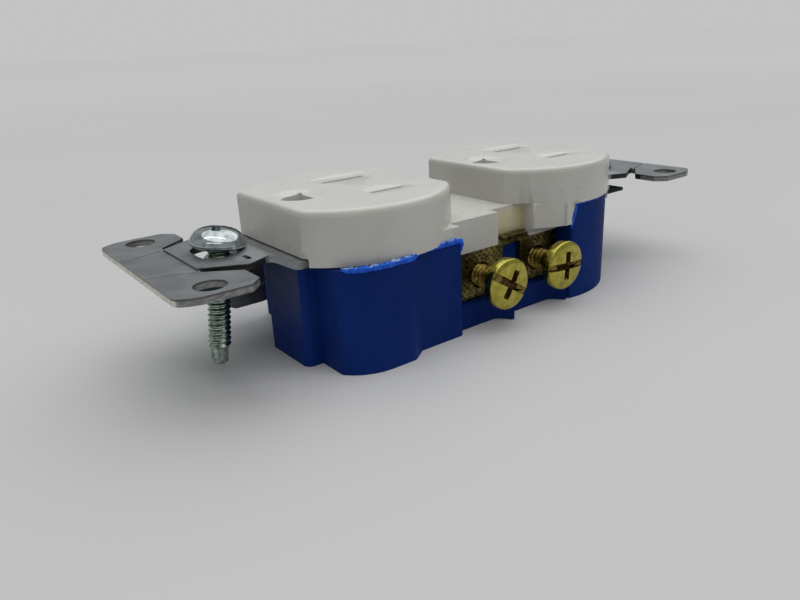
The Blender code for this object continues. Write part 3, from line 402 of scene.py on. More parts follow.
def galvanisedSteel():
    material, weave = newMaterial("galvanisedSteel", (0.24, 0.25, 0.255), 0.42, steelSpec["metal"])

    def overlay(mask, under, name):
        tone, share = steelSpec[name]
        return weave.mix(weave.maths("MULTIPLY", mask, share), under, tone)

    cloud = weave.ramp(weave.noise(260, 5), *zip((0.3, 0.7), steelSpec["cloud"]))
    spangle = weave.ramp(weave.cells(420), (0.0, 0.42), (1.0, 0.58))
    cloud = weave.mix(0.6, cloud, spangle, "OVERLAY")
    pits = weave.both(weave.ramp(weave.noise(2900, 2), (0.58, 0.0), (0.68, 0.4)),
                      weave.maths("ADD", weave.fade(weave.reach, 44.5 * mm, 37 * mm), 0.12))
    # painted highlight on the upward faces of the neck
    neckHighlight = weave.both(weave.fade(weave.reach, 41.5 * mm, 38.5 * mm), weave.fade(weave.facing(2), 0.3, 0.6))
    colour = weave.mix(pits, overlay(neckHighlight, cloud, "neckHighlight"), steelSpec["pit"])
    along, beside = (weave.maths("MULTIPLY", weave.maths("SUBTRACT", value, start), share)
                     for value, start, share in zip((weave.reach, weave.side),
                                                    scoreSpec["start"], scoreSpec["across"]))
    slant = weave.maths("ABSOLUTE", weave.maths("ADD", along, beside))
    scored = weave.both(weave.fade(slant, 0.26 * mm, 0.14 * mm), weave.fade(weave.reach, 45.4 * mm, 45.9 * mm))
    colour = overlay(scored, colour, "score")
    edgeOn = weave.fade(weave.facing(2), 0.5, 0.2)
    sheared = weave.both(edgeOn, weave.fade(weave.reach, 38 * mm, 43 * mm))
    grain, pale = (weave.ramp(weave.noise(1300, 3, (1, 1, 3)), *zip((0.35, 0.6), steelSpec[edge]))
                   for edge in ("cutEdge", "litEndEdge"))
    # painted cream light on the end faces
    grain = weave.mix(weave.fade(weave.reach, 52.6 * mm, 52.85 * mm), grain, pale)
    # painted shade along the top of the edge faces
    grain = overlay(weave.fade(weave.z, 17.66 * mm, 17.76 * mm), grain, "edgeTopShade")
    # painted shadow on the edge faces inside the slits
    slitShadow = weave.both(weave.maths("COMPARE", weave.reach, 41.9 * mm, 4.25 * mm),
                     weave.maths("COMPARE", weave.side, 8.9 * mm, 2.9 * mm),
                     edgeOn, weave.fade(weave.z, 18.2 * mm, 18.08 * mm))
    weave.into("Base Color", overlay(slitShadow, weave.mix(sheared, colour, grain), "slitShadow"))
    weave.into("Metallic", weave.maths("SUBTRACT", steelSpec["metal"],
                                       weave.maths("MULTIPLY", sheared, steelSpec["cutMetalLoss"])))
    weave.into("Roughness", weave.ramp(weave.noise(700, 4), *zip((0.3, 0.7), steelSpec["gloss"])))
    weave.bump(weave.noise(2200, 3), 0.010 * mm)
    return material


def platedMetal(name, colour, shade, roughness, grain=900, wear=0.006):
    material, weave = newMaterial(name, colour, roughness, 1.0)
    weave.into("Base Color", weave.ramp(weave.noise(grain, 3), (0.35, shade), (0.6, colour)))
    weave.into("Roughness", weave.ramp(weave.noise(grain * 1.7, 2),
                                       (0.3, roughness * 0.7), (0.7, roughness * 1.3)))
    weave.bump(weave.noise(grain * 2.5, 2), wear * mm)
    return material


def dirtyMetal(name, colour, shade, roughness):
    material, weave = newMaterial(name, colour, roughness, 0.7)
    weave.into("Base Color", weave.ramp(weave.noise(1800, 3), (0.4, shade), (0.75, colour)))
    weave.bump(weave.noise(2600, 3), 0.03 * mm)
    return material


def roughPlastic(name, dark, light, roughness, grain, depth):
    material, weave = newMaterial(name, light, roughness, specular=0.3)
    weave.into("Base Color", weave.ramp(weave.noise(grain, 3), (0.35, dark), (0.65, light)))
    weave.bump(weave.noise(grain * 1.8, 3), depth * mm)
    return material


coverFinish = whitePlastic()
bodyFinish = bluePlastic()
strapFinish = galvanisedSteel()
busFinish = platedMetal("busBrass", (0.25, 0.215, 0.07), (0.075, 0.058, 0.019), 0.36)
dimpleFinish = dirtyMetal("busDimple", (0.12, 0.09, 0.025), (0.03, 0.02, 0.006), 0.6)
brassFinish = platedMetal("screwBrass", (0.46, 0.42, 0.08), (0.33, 0.28, 0.045), 0.17)
brassRecess = dirtyMetal("recessBrass", (0.30, 0.19, 0.035), (0.035, 0.016, 0.004), 0.4)
brassThread = platedMetal("threadBrass", (0.26, 0.19, 0.045), (0.075, 0.045, 0.011), 0.3, 1300)
silverFinish = platedMetal("screwSilver", (0.60, 0.60, 0.58), (0.48, 0.48, 0.46), 0.22)
silverRecess = dirtyMetal("recessSilver", (0.22, 0.22, 0.20), (0.05, 0.05, 0.045), 0.45)
silverThread = platedMetal("threadSilver", (0.36, 0.36, 0.34), (0.22, 0.22, 0.21), 0.3)
zincFinish = platedMetal("screwZinc", (0.60, 0.64, 0.65), (0.34, 0.39, 0.40), 0.1, 900, 0.004)
zincRecess = dirtyMetal("recessZinc", (0.16, 0.24, 0.22), (0.04, 0.075, 0.07), 0.4)
zincThread = platedMetal("threadZinc", (0.48, 0.55, 0.48), (0.18, 0.25, 0.21), 0.2, 1500)
greenFinish = platedMetal("screwGreen", (0.05, 0.28, 0.10), (0.03, 0.18, 0.06), 0.34)
greenRecess = dirtyMetal("recessGreen", (0.02, 0.10, 0.035), (0.006, 0.03, 0.01), 0.5)
rivetFinish = platedMetal("rivetSteel", (0.40, 0.40, 0.38), (0.30, 0.30, 0.29), 0.4)
washerFinish = roughPlastic("fibreSheet", (0.008, 0.025, 0.022), (0.022, 0.055, 0.046), 0.8, 1300, 0.03)
flashFinish = roughPlastic("flashBlue", (0.0, 0.045, 0.42), (0.001, 0.13, 0.78), 0.35, 900, 0.04)
# pale painted highlight for the top of the flash bead
flashHighlightFinish = roughPlastic("flashHighlight", (0.08, 0.28, 0.74), (0.50, 0.66, 0.86), 0.45, 900, 0.04)
print("materials made")

# cover with both faces: shallow lead-in dishes and bevelled openings

coverSpec = {
    "faceTop": 23.95 * mm,
    "faceMiddles": (-19.45 * mm, 19.45 * mm),
    "faceRadius": 16.703 * mm, "faceFlat": 13.503 * mm,
    "tier": (16.75 * mm, 16.9 * mm, 18.1 * mm),   # radius from, radius to, top
    "bladeLine": 3.9 * mm,
    "groundBack": 11.9 * mm,
    "bladeDish": (10.2 * mm, 0.6 * mm),   # radius and depth
    "groundDish": (4.6 * mm, 0.9 * mm),
    "slots": ((-6.35 * mm, 6.6 * mm), (6.35 * mm, 8.3 * mm)),   # Y and length
    "slotWidth": 1.9 * mm,
    "leadIn": 0.3 * mm,
    "edge": 0.16 * mm, "edgesBelow": 22.5 * mm, "tierTop": 18.3 * mm,
    "bridge": (4.5 * mm, 17.9 * mm),   # half length and where its top edges begin
    "groundRadius": 2.6 * mm, "groundSink": 0.43,   # share of the dish's depth where the hole begins
    "flatSlack": 0.3 * mm,
}


def dishCutter(x, dish):
    radius, depth = dish
    bpy.ops.object.select_all(action="DESELECT")
    bpy.ops.mesh.primitive_cone_add(vertices=96, radius1=0, radius2=2 * radius, depth=2 * depth,
                                    location=(x, 0, coverSpec["faceTop"]))
    cutter = bpy.context.object
    freeze(cutter)
    return cutter


def groundCutter(x):
    lead, radius = coverSpec["leadIn"], coverSpec["groundRadius"]
    top = coverSpec["faceTop"] - coverSpec["groundDish"][1] * coverSpec["groundSink"]
    bpy.ops.object.select_all(action="DESELECT")
    bpy.ops.mesh.primitive_cone_add(vertices=64, radius1=radius, radius2=radius + 4 * lead, depth=2 * lead,
                                    location=(x, 0, top))
    cutter = bpy.context.object
    freeze(cutter)
    return cutter


def leadInCutter(x, y, length):
    lead = coverSpec["leadIn"]
    slope = coverSpec["bladeDish"][1] * (1 - abs(y) / coverSpec["bladeDish"][0])
    top = coverSpec["faceTop"] - slope
    long, wide = length + 4 * lead, coverSpec["slotWidth"] + 4 * lead
    return boxPiece("leadIn", (long, wide, 2 * lead), (x, y, top),
                    (length / long, coverSpec["slotWidth"] / wide))


def coverEdge(middle, run):   # the faces' edges and the bridge's
    onBridge = abs(middle.x) < coverSpec["bridge"][0]
    inReach = coverSpec["bridge"][1] < middle.z < coverSpec["edgesBelow"]
    return inReach and (middle.z > coverSpec["tierTop"] or onBridge)


cover = nodeCopy("face_cover", "cover_shell")
tierFrom, tierTo, tierHigh = coverSpec["tier"]
faceFlat = coverSpec["faceFlat"]
for vertex in cover.data.vertices:   # the lower tier is drawn flush with the faces
    middle = Vector((math.copysign(coverSpec["faceMiddles"][1], vertex.co.x), 0))
    out = Vector((vertex.co.x, vertex.co.y)) - middle
    if vertex.co.z < tierHigh:
        if tierFrom < out.length < tierTo:
            out *= coverSpec["faceRadius"] / out.length
        if faceFlat < abs(out.x) < faceFlat + coverSpec["flatSlack"] and out.x * middle.x > 0:
            out.x = math.copysign(faceFlat, out.x)
        vertex.co.x, vertex.co.y = middle.x + out.x, out.y
for middle in coverSpec["faceMiddles"]:
    blades = middle + coverSpec["bladeLine"]
    combine(cover, dishCutter(blades, coverSpec["bladeDish"]))
    combine(cover, dishCutter(blades - coverSpec["groundBack"], coverSpec["groundDish"]))
    combine(cover, groundCutter(blades - coverSpec["groundBack"]))
    for y, length in coverSpec["slots"]:
        combine(cover, leadInCutter(blades, y, length))
roundEdges(cover, coverSpec["edge"], coverEdge)
smoothByAngle(cover, 28)
settle(cover, "device", ["face_cover"], "white_cover", coverFinish)
print("cover done")

# blue back body, its corners softened

bodySpec = {
    "edge": 0.3 * mm,
    "low": 5 * mm,
    "terminalSide": 14.3 * mm, "endsFrom": 28 * mm,
    "upperMiddle": 19.45 * mm,
    "rim": (16.2 * mm, 16.36 * mm), "rimFoot": 15.68 * mm,
    "lobe": 16.392 * mm,
}


def bodyCorner(middle, run):
    outside = abs(middle.y) > bodySpec["terminalSide"] or abs(middle.x) > bodySpec["endsFrom"]
    return abs(run.z) > 0.9 and middle.z > bodySpec["low"] and outside


body = nodeCopy("back_body", "body_shell")
for vertex in body.data.vertices:   # the rim is drawn flush with the lobe under it
    out = Vector((vertex.co.x, vertex.co.y)) - Vector((bodySpec["upperMiddle"], 0))
    if vertex.co.z > bodySpec["rimFoot"] and bodySpec["rim"][0] < out.length < bodySpec["rim"][1]:
        out *= bodySpec["lobe"] / out.length
        vertex.co.x, vertex.co.y = bodySpec["upperMiddle"] + out.x, out.y
roundEdges(body, bodySpec["edge"], bodyCorner, 25, least=(3 * mm, 2 * mm * mm))
smoothByAngle(body, 28)
settle(body, "device", ["back_body"], "blue_body", bodyFinish)
print("body done")

# strap with its sheared edges rounded over, score lines left sharp

strapSpec = {
    "edge": 0.14 * mm,
    "scored": 0.9 * mm, "scoreFrom": 45 * mm,
    "slit": {   # corners in mm beside the tongue, by side
        -1: ((46.35, 6.45), (41.4, 9.75), (41.4, 11.0), (46.35, 7.4)),
        1: ((46.35, 6.45), (41.4, 9.75), (41.4, 11.6), (46.35, 7.9)),
    },
    "slitCut": (16.5 * mm, 2.5 * mm),   # from, height
    "tabFill": ((0.7 * mm, 0.96 * mm, 11.2 * mm), (-30.95 * mm, 8.9 * mm, 11.25 * mm)),   # size, place
    "corner": 0.9 * mm, "cornersFrom": (49 * mm, 14 * mm),
}


def offScore(middle, run):
    (startX, startY), (acrossX, acrossY) = scoreSpec["start"], scoreSpec["across"]
    slant = (abs(middle.x) - startX) * acrossX + (abs(middle.y) - startY) * acrossY
    return abs(slant) > strapSpec["scored"] or abs(middle.x) < strapSpec["scoreFrom"]


def earCorner(middle, run):
    fromX, fromY = strapSpec["cornersFrom"]
    return abs(run.z) > 0.9 and abs(middle.x) > fromX and abs(middle.y) > fromY


def slitCutter(end, side):
    low, high = strapSpec["slitCut"]
    corners = [(end * x * mm, side * y * mm, low) for x, y in strapSpec["slit"][side]]
    mesh = bpy.data.meshes.new("slit")
    mesh.from_pydata(corners, [], [(0, 1, 2, 3)])
    cutter = bpy.data.objects.new("slit", mesh)
    bpy.context.scene.collection.objects.link(cutter)
    editAll(cutter)
    bpy.ops.mesh.extrude_region_move(TRANSFORM_OT_translate={"value": (0, 0, high)})
    bpy.ops.mesh.select_all(action="SELECT")
    bpy.ops.mesh.normals_make_consistent(inside=False)
    leaveEdit()
    return cutter


strap = nodeCopy("mounting_strap", "strap_plate")
for end in (-1, 1):
    for side in (-1, 1):
        combine(strap, slitCutter(end, side))
combine(strap, boxPiece("tabFill", *strapSpec["tabFill"]), "UNION")
roundEdges(strap, strapSpec["corner"], earCorner, 25, 4, least=(0.5 * mm, 0.2 * mm * mm))
roundEdges(strap, strapSpec["edge"], offScore)
smoothByAngle(strap, 32)
settle(strap, "device", ["mounting_strap"], "galvanised_strap", strapFinish)
print("strap done")

# buses with dimpled terminal plates

busSpec = {
    "plateOut": 12.3 * mm,
    "pitch": 1.1 * mm,
    "dimple": 0.2 * mm,
    "depth": 0.25 * mm,
    "area": ((-7.9 * mm, 4.4 * mm), (15.4 * mm, 12.3 * mm)),
    "holes": ((-1.7 * mm, 7.9 * mm), (11.7 * mm, 7.9 * mm)),
    "holeRim": 2.6 * mm,
    "slit": (3.0 * mm, 7.8 * mm),
}


def dimplePlaces():
    (left, low), (right, high) = busSpec["area"]
    pitch = busSpec["pitch"]
    for row in range(int((high - low) / pitch * 2)):
        z = low + (row + 0.6) * pitch / 2
        for column in range(int((right - left) / pitch)):
            x = left + (column + (0.8 if row % 2 else 0.3)) * pitch
            nearHole = min(math.hypot(x - hx, z - hz) for hx, hz in busSpec["holes"]) < busSpec["holeRim"]
            inSlit = busSpec["slit"][0] < x < busSpec["slit"][1]
            if not nearHole and not inSlit and z < high - pitch / 3:
                yield x, z


def dimpleCutters(side):
    bpy.ops.object.select_all(action="DESELECT")
    bpy.ops.mesh.primitive_cone_add(vertices=10, radius1=0, radius2=2 * busSpec["dimple"],
                                    depth=2 * busSpec["depth"], location=(0, 0, 0))
    first = bpy.context.object
    first.rotation_euler = (math.copysign(math.pi / 2, -side), 0, 0)
    freeze(first)
    copies = []
    for x, z in dimplePlaces():
        copy = twin(first, "dimple")
        copy.location = (x, side * busSpec["plateOut"], z)
        copies.append(copy)
    bpy.data.objects.remove(first, do_unlink=True)
    bpy.ops.object.select_all(action="DESELECT")
    for copy in copies:
        copy.select_set(True)
    bpy.context.view_layer.objects.active = copies[0]
    bpy.ops.object.join()
    cutters = bpy.context.object
    freeze(cutters)
    return cutters


def twin(obj, name):
    copy = obj.copy()
    copy.data = obj.data.copy()
    copy.name = name
    bpy.context.scene.collection.objects.link(copy)
    return copy


for side, node in ((-1, "hot_bus"), (1, "neutral_bus")):
    bus = nodeCopy(node, node + "_plates")
    combine(bus, dimpleCutters(side))
    smoothByAngle(bus, 40)
    settle(bus, "device", [node], "brass_bus", busFinish, dimpleFinish)
    deepest = busSpec["plateOut"] - busSpec["depth"]
    for polygon in bus.data.polygons:
        inPlate = deepest - 0.05 * mm < abs(polygon.center.y) < busSpec["plateOut"] - 0.01 * mm
        polygon.material_index = int(inPlate and 0.3 < abs(polygon.normal.y) < 0.95)
print("buses done")

# screws: turned head, driving recess, rolled thread

terminalSpec = {   # in mm, the head's profile as radius and height
    "head": [(0, 0.15), (3.2, 0.15), (3.9, 0.0), (4.12, 0.1), (4.2, 0.3), (4.2, 1.35), (4.16, 1.5),
             (4.05, 1.62), (3.8, 1.74), (3.1, 1.87), (2.4, 1.95), (1.5, 1.99), (0, 2.0)],
    "slot": 1.2, "slotDepth": 0.6,
    "cross": 5.0, "crossWidth": 1.2, "crossDepth": 1.5,
    "root": 1.6, "crest": 1.98, "pitch": 0.79, "length": 7.7,
    "edge": 0.06,
}
boxScrewSpec = {   # in mm, with a head of its own for each end
    "upper": [(0, 0.0), (2.2, 0.0), (3.6, -0.14), (3.9, -0.14), (4.04, 0.0), (4.08, 0.35), (4.0, 0.85),
              (3.8, 1.28), (3.4, 1.72), (2.8, 2.1), (2.0, 2.38), (1.05, 2.55), (0, 2.6)],
    "lower": [(0, -0.5), (2.0, -0.5), (2.6, -0.46), (3.1, -0.39), (3.45, -0.31), (3.7, -0.2), (3.86, -0.05),
              (3.94, 0.15), (3.93, 0.4), (3.87, 0.68), (3.77, 0.95), (3.63, 1.2), (3.45, 1.44), (3.22, 1.68),
              (2.94, 1.9), (2.62, 2.09), (2.24, 2.26), (1.8, 2.4), (1.3, 2.51), (0.7, 2.58), (0, 2.6)],
    "slot": 0.9, "slotDepth": 1.0,
    "cross": 4.6, "crossWidth": 1.25, "crossDepth": 1.7,
    "root": 1.4, "crest": 1.66, "pitch": 0.79, "length": 15.2,
    "edge": 0.06,
    "point": [(0, -17.8), (0.95, -17.8), (1.24, -17.45), (1.24, -15.3), (1.34, -14.9), (0, -14.9)],
}


def drivingRecess(obj, spec, top):
    arm = spec["cross"] * mm
    for length, width, depth, narrow in (
        (12 * mm, spec["slot"] * mm, spec["slotDepth"] * mm, (1, 0.9)),
        (arm, spec["crossWidth"] * mm, spec["crossDepth"] * mm, (0.35, 0.5)),
        (spec["crossWidth"] * mm, arm, spec["crossDepth"] * mm, (0.5, 0.35)),
    ):
        size = (length * 2 / (1 + narrow[0]), width * 2 / (1 + narrow[1]), 2 * depth)
        combine(obj, boxPiece("recess", size, (0, 0, top), narrow))


def topOf(profile, radius):
    crown = [(r, z) for r, z in profile if z > 0.3]
    for (outer, low), (inner, high) in zip(crown, crown[1:]):
        if inner <= radius <= outer and outer > inner:
            return low + (high - low) * (outer - radius) / (outer - inner)
    return crown[0][1]


def makeScrew(name, spec):
    head = turnedPiece(name, [(r * mm, z * mm) for r, z in spec["head"]], 64)
    drivingRecess(head, spec, spec["head"][-1][1] * mm)
    roundEdges(head, spec["edge"] * mm, lambda middle, run: middle.z > 0.5 * mm, 50,
               least=(0.3 * mm, 0.05 * mm * mm))
    rod = threadedRod(name + "_rod", spec["root"] * mm, spec["crest"] * mm, spec["pitch"] * mm,
                      -spec["length"] * mm, 0.4 * mm)
    combine(head, rod, "UNION")
    if "point" in spec:
        combine(head, turnedPiece(name + "_point", [(r * mm, z * mm) for r, z in spec["point"]], 32), "UNION")
    for polygon in head.data.polygons:
        x, y, z = polygon.center / mm
        radius = math.hypot(x, y)
        below = topOf(spec["head"], radius) - z
        if z > 0.25 and radius < 4 and below > 0.14:
            slotFloor = polygon.normal.z > 0.95 and below < spec["slotDepth"] + 0.1
            polygon.material_index = 2 if slotFloor else 1
        elif z < -0.2 and radius < 2.1:
            polygon.material_index = 2
    return head


def placeScrew(obj, turn, tilt, place):
    obj.matrix_world = Matrix.Translation(place) @ tilt @ Matrix.Rotation(math.radians(turn), 4, "Z")
    freeze(obj)
    smoothByAngle(obj, 38)


screwOut, screwHigh = 17.3 * mm, 7.9 * mm
screwRows = (   # bank, side, finishes, slot, then end, X in mm and turn of each
    ("hot", -1, (brassFinish, brassRecess, brassThread), "brass_screw",
     (("lower", -1.7, -32), ("upper", 11.7, -4))),
    ("neutral", 1, (silverFinish, silverRecess, silverThread), "nickel_screw",
     (("lower", -1.7, 64), ("upper", 11.7, 18))),
)
boxScrewRows = (   # end, turn, lean, place
    ("lower", -30, 7.5, (-40.87 * mm, 0, 19.061 * mm)),
    ("upper", 70, 0, (41.67 * mm, 0, 18.5 * mm)),
)
terminal = makeScrew("terminal", terminalSpec)
for bank, side, finishes, slot, pair in screwRows:
    for end, x, turn in pair:
        screw = twin(terminal, f"{bank}_screw_{end}_threaded")
        placeScrew(screw, turn, Matrix.Rotation(math.copysign(math.pi / 2, -side), 4, "X"),
                   (x * mm, side * screwOut, screwHigh))
        settle(screw, f"{bank}_terminal_{end}", [f"{bank}_screw_{end}"], slot, *finishes)
bpy.data.objects.remove(terminal, do_unlink=True)

for end, turn, lean, place in boxScrewRows:
    screw = makeScrew(f"mounting_screw_{end}_threaded", {**boxScrewSpec, "head": boxScrewSpec[end]})
    placeScrew(screw, turn, Matrix.Rotation(math.radians(lean), 4, "Y"), place)
    settle(screw, f"box_screw_{end}", [f"mounting_screw_{end}"], "zinc_screw", zincFinish, zincRecess, zincThread)

groundSpec = {
    "flange": [(0, 0.1), (3.4, 0.1), (3.75, 0), (3.9, 0.12), (3.9, 0.45), (3.7, 0.68), (3.3, 0.8), (0, 0.8)],
    "hex": 3.18, "high": 3.2, "chamfer": 0.35,
    "slot": 1.1, "depth": 1.1,
    "root": 1.6, "crest": 1.98, "pitch": 0.79, "length": 6.6,
    "turn": 20,
    "place": (-34.95 * mm, 13.0 * mm, 10.3 * mm),
}


def groundScrew():
    head = turnedPiece("ground_screw_threaded", [(r * mm, z * mm) for r, z in groundSpec["flange"]])
    bpy.ops.object.select_all(action="DESELECT")
    high, depth, slot = (groundSpec[name] * mm for name in ("high", "depth", "slot"))
    bpy.ops.mesh.primitive_cylinder_add(vertices=6, radius=groundSpec["hex"] * mm / math.cos(math.pi / 6),
                                        depth=high - 0.4 * mm, location=(0, 0, high / 2 + 0.2 * mm))
    hexagon = bpy.context.object
    freeze(hexagon)
    roundEdges(hexagon, groundSpec["chamfer"] * mm, lambda middle, run: middle.z > high - 0.1 * mm)
    combine(hexagon, boxPiece("slot", (12 * mm, slot, 2 * depth), (0, 0, high)))
    combine(head, hexagon, "UNION")
    rod = threadedRod("ground_rod", groundSpec["root"] * mm, groundSpec["crest"] * mm, groundSpec["pitch"] * mm,
                      -groundSpec["length"] * mm, 0.4 * mm)
    combine(head, rod, "UNION")
    for polygon in head.data.polygons:
        inSlot = high - depth - 0.05 * mm < polygon.center.z < high - 0.1 * mm
        polygon.material_index = int(inSlot and abs(polygon.center.y) < slot / 2 + 0.01 * mm)
    return head


ground = groundScrew()
placeScrew(ground, groundSpec["turn"], Matrix.Rotation(-math.pi / 2, 4, "X"), groundSpec["place"])
settle(ground, "ground_terminal", ["ground_screw"], "green_screw", greenFinish, greenRecess)
print("screws done")

# square fibre washers, their edges eased

washerEdge = 0.12 * mm
for end in ("lower", "upper"):
    washer = nodeCopy(f"retainer_washer_{end}", f"retainer_washer_{end}_sheet")
    roundEdges(washer, washerEdge)
    smoothByAngle(washer)
    settle(washer, f"box_screw_{end}", [f"retainer_washer_{end}"], "fibre_washer", washerFinish)

# carried-over inner pieces get their finish
for node, finish in (
    ("ground_contact_lower", busFinish), ("ground_contact_upper", busFinish),
    ("ground_rivet_lower", rivetFinish), ("ground_rivet_upper", rivetFinish),
):
    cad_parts[node].data.materials.clear()
    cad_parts[node].data.materials.append(finish)

# ragged flash squeezed out along the seam: a blue bead and a pale painted highlight along its top

flashSpec = {   # in mm
    "lower": {
        "path": [(-29.9, -14.5, 15.75), (-29.52, -14.91, 15.75), (-28.29, -15.84, 15.75), (-26.91, -16.53, 15.75),
                 (-25.43, -16.96, 15.75), (-23.9, -17.1, 15.75), (-19.6, -17.1, 15.75), (-16.9, -15.2, 15.75),
                 (-9.2, -15.2, 15.75), (-8.62, -15.18, 15.6), (-8.5, -15.12, 15.2), (-8.5, -15.1, 14.0)],
        "bead": 0.42, "ragged": 0.35, "paleLift": 0.40, "paleShort": 10,
    },
    "upper": {
        "path": [(16.3, -16.0, 12.9), (17.3, -16.1, 17.05), (18.65, -16.2, 17.1), (21.1, -16.15, 17.1),
                 (23.5, -15.75, 17.1), (25.82, -14.95, 17.1), (28.0, -13.8, 17.1)],
        "bead": 0.24, "ragged": 0.12, "paleLift": 0.16, "paleShort": 0,
    },
    "lift": 0.08, "pale": 0.17, "paleRagged": 0.4,
    "step": 0.16,
    "sides": (("near", -1, 3.1), ("far", 1, 7.7)),   # name, side, seed
}


def resample(points, step):
    result = [Vector(points[0])]
    for start, end in zip(points, points[1:]):
        start, end = Vector(start), Vector(end)
        count = max(1, round((end - start).length / step))
        result += [start.lerp(end, k / count) for k in range(1, count + 1)]
    return result


def beadPiece(name, points, radius, ragged, lift, seed):
    data = bpy.data.curves.new(name, "CURVE")
    data.dimensions = "3D"
    data.bevel_depth = mm
    data.bevel_resolution = 2
    data.use_fill_caps = True
    line = data.splines.new("POLY")
    line.points.add(len(points) - 1)
    for index, (knot, point) in enumerate(zip(line.points, points)):
        swell = noise.noise(Vector((index * 0.21, seed, 0)))
        fine = noise.noise(Vector((index * 0.67, seed, 9)))
        ends = min(1, 0.25 + 0.12 * index, 0.25 + 0.12 * (len(points) - 1 - index))
        high = lift + ragged * (0.5 * swell + 0.35 * fine)
        knot.co = (point.x * mm, point.y * mm, (point.z + high) * mm, 1)
        knot.radius = max(0.03, radius * ends * (1 + 0.75 * swell + 0.4 * fine))
    obj = bpy.data.objects.new(name, data)
    bpy.context.scene.collection.objects.link(obj)
    pickOnly(obj)
    bpy.ops.object.convert(target="MESH")
    obj = bpy.context.object
    editAll(obj)
    bpy.ops.mesh.remove_doubles(threshold=0.002 * mm)
    bpy.ops.mesh.normals_make_consistent(inside=False)
    leaveEdit()
    smoothByAngle(obj, 60)
    return obj


for place, side, seed in flashSpec["sides"]:
    for lobe in ("lower", "upper"):
        spec = flashSpec[lobe]
        path = resample([(x, -side * y, z) for x, y, z in spec["path"]], flashSpec["step"])
        bead = beadPiece(f"flash_{lobe}_{place}", path, spec["bead"], spec["ragged"], flashSpec["lift"], seed)
        settle(bead, "device", None, "blue_body", flashFinish)
        crest = path[:len(path) - spec["paleShort"]]
        # a pale painted highlight laid along the bead's crest
        beadHighlight = beadPiece(f"flash_{lobe}_{place}_edge", crest, flashSpec["pale"], flashSpec["paleRagged"],
                          spec["paleLift"], seed + 20)
        settle(beadHighlight, "device", None, "blue_body", flashHighlightFinish)
print("flash done")

# floor, light and camera

stageSpec = {
    "floorTone": (0.60, 0.60, 0.60), "floorSize": 40, "floorDrop": 0.03 * mm,
    "paper": (0.615, 0.635), "farPaper": (0.705, 0.705, 0.705), "farFrom": (0.15, 1.1),
    "backdrop": 0.547,
    "world": 0.33,
    "sun": 1.44, "sunPlace": (0.36, 0.02, 1.2), "sunAngle": 95,
    "tubes": (   # name, ahead, length, width, power
        ("tubeAbove", -0.1, 1.0, 0.1, 0.65),
        ("tubeFront", -1.0, 1.3, 0.12, 0.75),
    ),
    "tubeHigh": 0.85,
    "camera": (-75.466 * mm, -90.013 * mm, 44.425 * mm),
    "yaw": 0.639, "pitch": -0.366, "roll": -0.050,
    "focal": 679.486, "imageWidth": 800, "shift": (-0.0059, 0.0034),
}

bpy.ops.object.select_all(action="DESELECT")
bpy.ops.mesh.primitive_plane_add(size=stageSpec["floorSize"], location=(0, 0, -stageSpec["floorDrop"]))
floor = bpy.context.object
floor.name = "floor"
floorFinish, weave = newMaterial("floorPaper", stageSpec["floorTone"], 0.8, specular=0.05)
paper = weave.ramp(weave.noise(7, 3), *zip((0.3, 0.7), stageSpec["paper"]))
squares = (weave.maths("MULTIPLY", value, value) for value in (weave.x, weave.y))
away = weave.fade(weave.maths("SQRT", weave.maths("ADD", *squares)), *stageSpec["farFrom"])
weave.into("Base Color", weave.mix(away, paper, stageSpec["farPaper"]))
floor.data.materials.append(floorFinish)

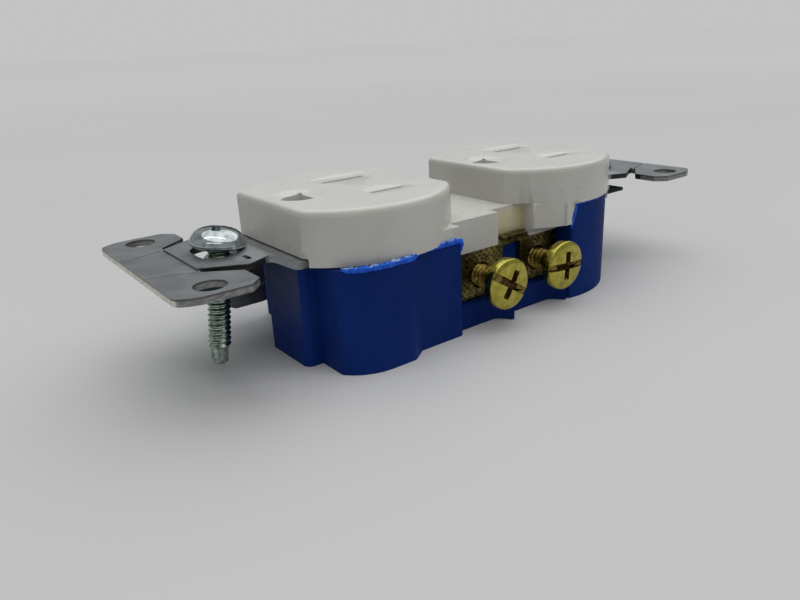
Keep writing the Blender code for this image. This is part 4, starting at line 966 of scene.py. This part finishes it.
world = bpy.data.worlds.new("studio")
bpy.context.scene.world = world
world.use_nodes = True
nodes, links = world.node_tree.nodes, world.node_tree.links
ambient = nodes["Background"]
ambient.inputs["Color"].default_value = (0.97, 0.985, 1.0, 1)
ambient.inputs["Strength"].default_value = stageSpec["world"]
backdrop = nodes.new("ShaderNodeBackground")
backdrop.inputs["Color"].default_value = (1, 1, 1, 1)
backdrop.inputs["Strength"].default_value = stageSpec["backdrop"]
seen = nodes.new("ShaderNodeLightPath")
chooser = nodes.new("ShaderNodeMixShader")
links.new(seen.outputs["Is Camera Ray"], chooser.inputs[0])
links.new(ambient.outputs[0], chooser.inputs[1])
links.new(backdrop.outputs[0], chooser.inputs[2])
links.new(chooser.outputs[0], nodes["World Output"].inputs["Surface"])


def addLamp(name, kind, place, target, energy):
    lamp = bpy.data.lights.new(name, kind)
    lamp.energy = energy
    obj = bpy.data.objects.new(name, lamp)
    bpy.context.scene.collection.objects.link(obj)
    obj.location = place
    obj.rotation_euler = (Vector(target) - Vector(place)).to_track_quat("-Z", "Y").to_euler()
    return obj


yaw, pitch, roll = stageSpec["yaw"], stageSpec["pitch"], stageSpec["roll"]
forward = Vector((math.sin(yaw) * math.cos(pitch), math.cos(yaw) * math.cos(pitch), math.sin(pitch)))
right = Vector((math.cos(yaw), -math.sin(yaw), 0))
up = right.cross(forward)

sun = addLamp("softSky", "SUN", stageSpec["sunPlace"], (0, 0, 0), stageSpec["sun"])
sun.data.angle = math.radians(stageSpec["sunAngle"])
level = Vector((forward.x, forward.y, 0)).normalized()
for name, ahead, length, width, power in stageSpec["tubes"]:
    place = level * ahead + Vector((0, 0, stageSpec["tubeHigh"]))
    tube = addLamp(name, "AREA", place, (0, 0, 0), power)
    tube.data.shape = "RECTANGLE"
    tube.data.size, tube.data.size_y = length, width
    outward = place.normalized()
    turned = Matrix((right, outward.cross(right), outward)).transposed().to_4x4()
    tube.matrix_world = Matrix.Translation(place) @ turned

lens = bpy.data.cameras.new("camera")
lens.sensor_width = 36
lens.lens = stageSpec["focal"] / stageSpec["imageWidth"] * lens.sensor_width
lens.shift_x, lens.shift_y = stageSpec["shift"]
lens.clip_start = 0.005
camera = bpy.data.objects.new("camera", lens)
bpy.context.scene.collection.objects.link(camera)
across = right * math.cos(roll) + up * math.sin(roll)
upward = up * math.cos(roll) - right * math.sin(roll)
pose = Matrix((across, upward, -forward)).transposed().to_4x4()
pose.translation = Vector(stageSpec["camera"])
camera.matrix_world = pose
bpy.context.scene.camera = camera
bpy.context.scene.view_settings.view_transform = "Standard"
print("stage ready")
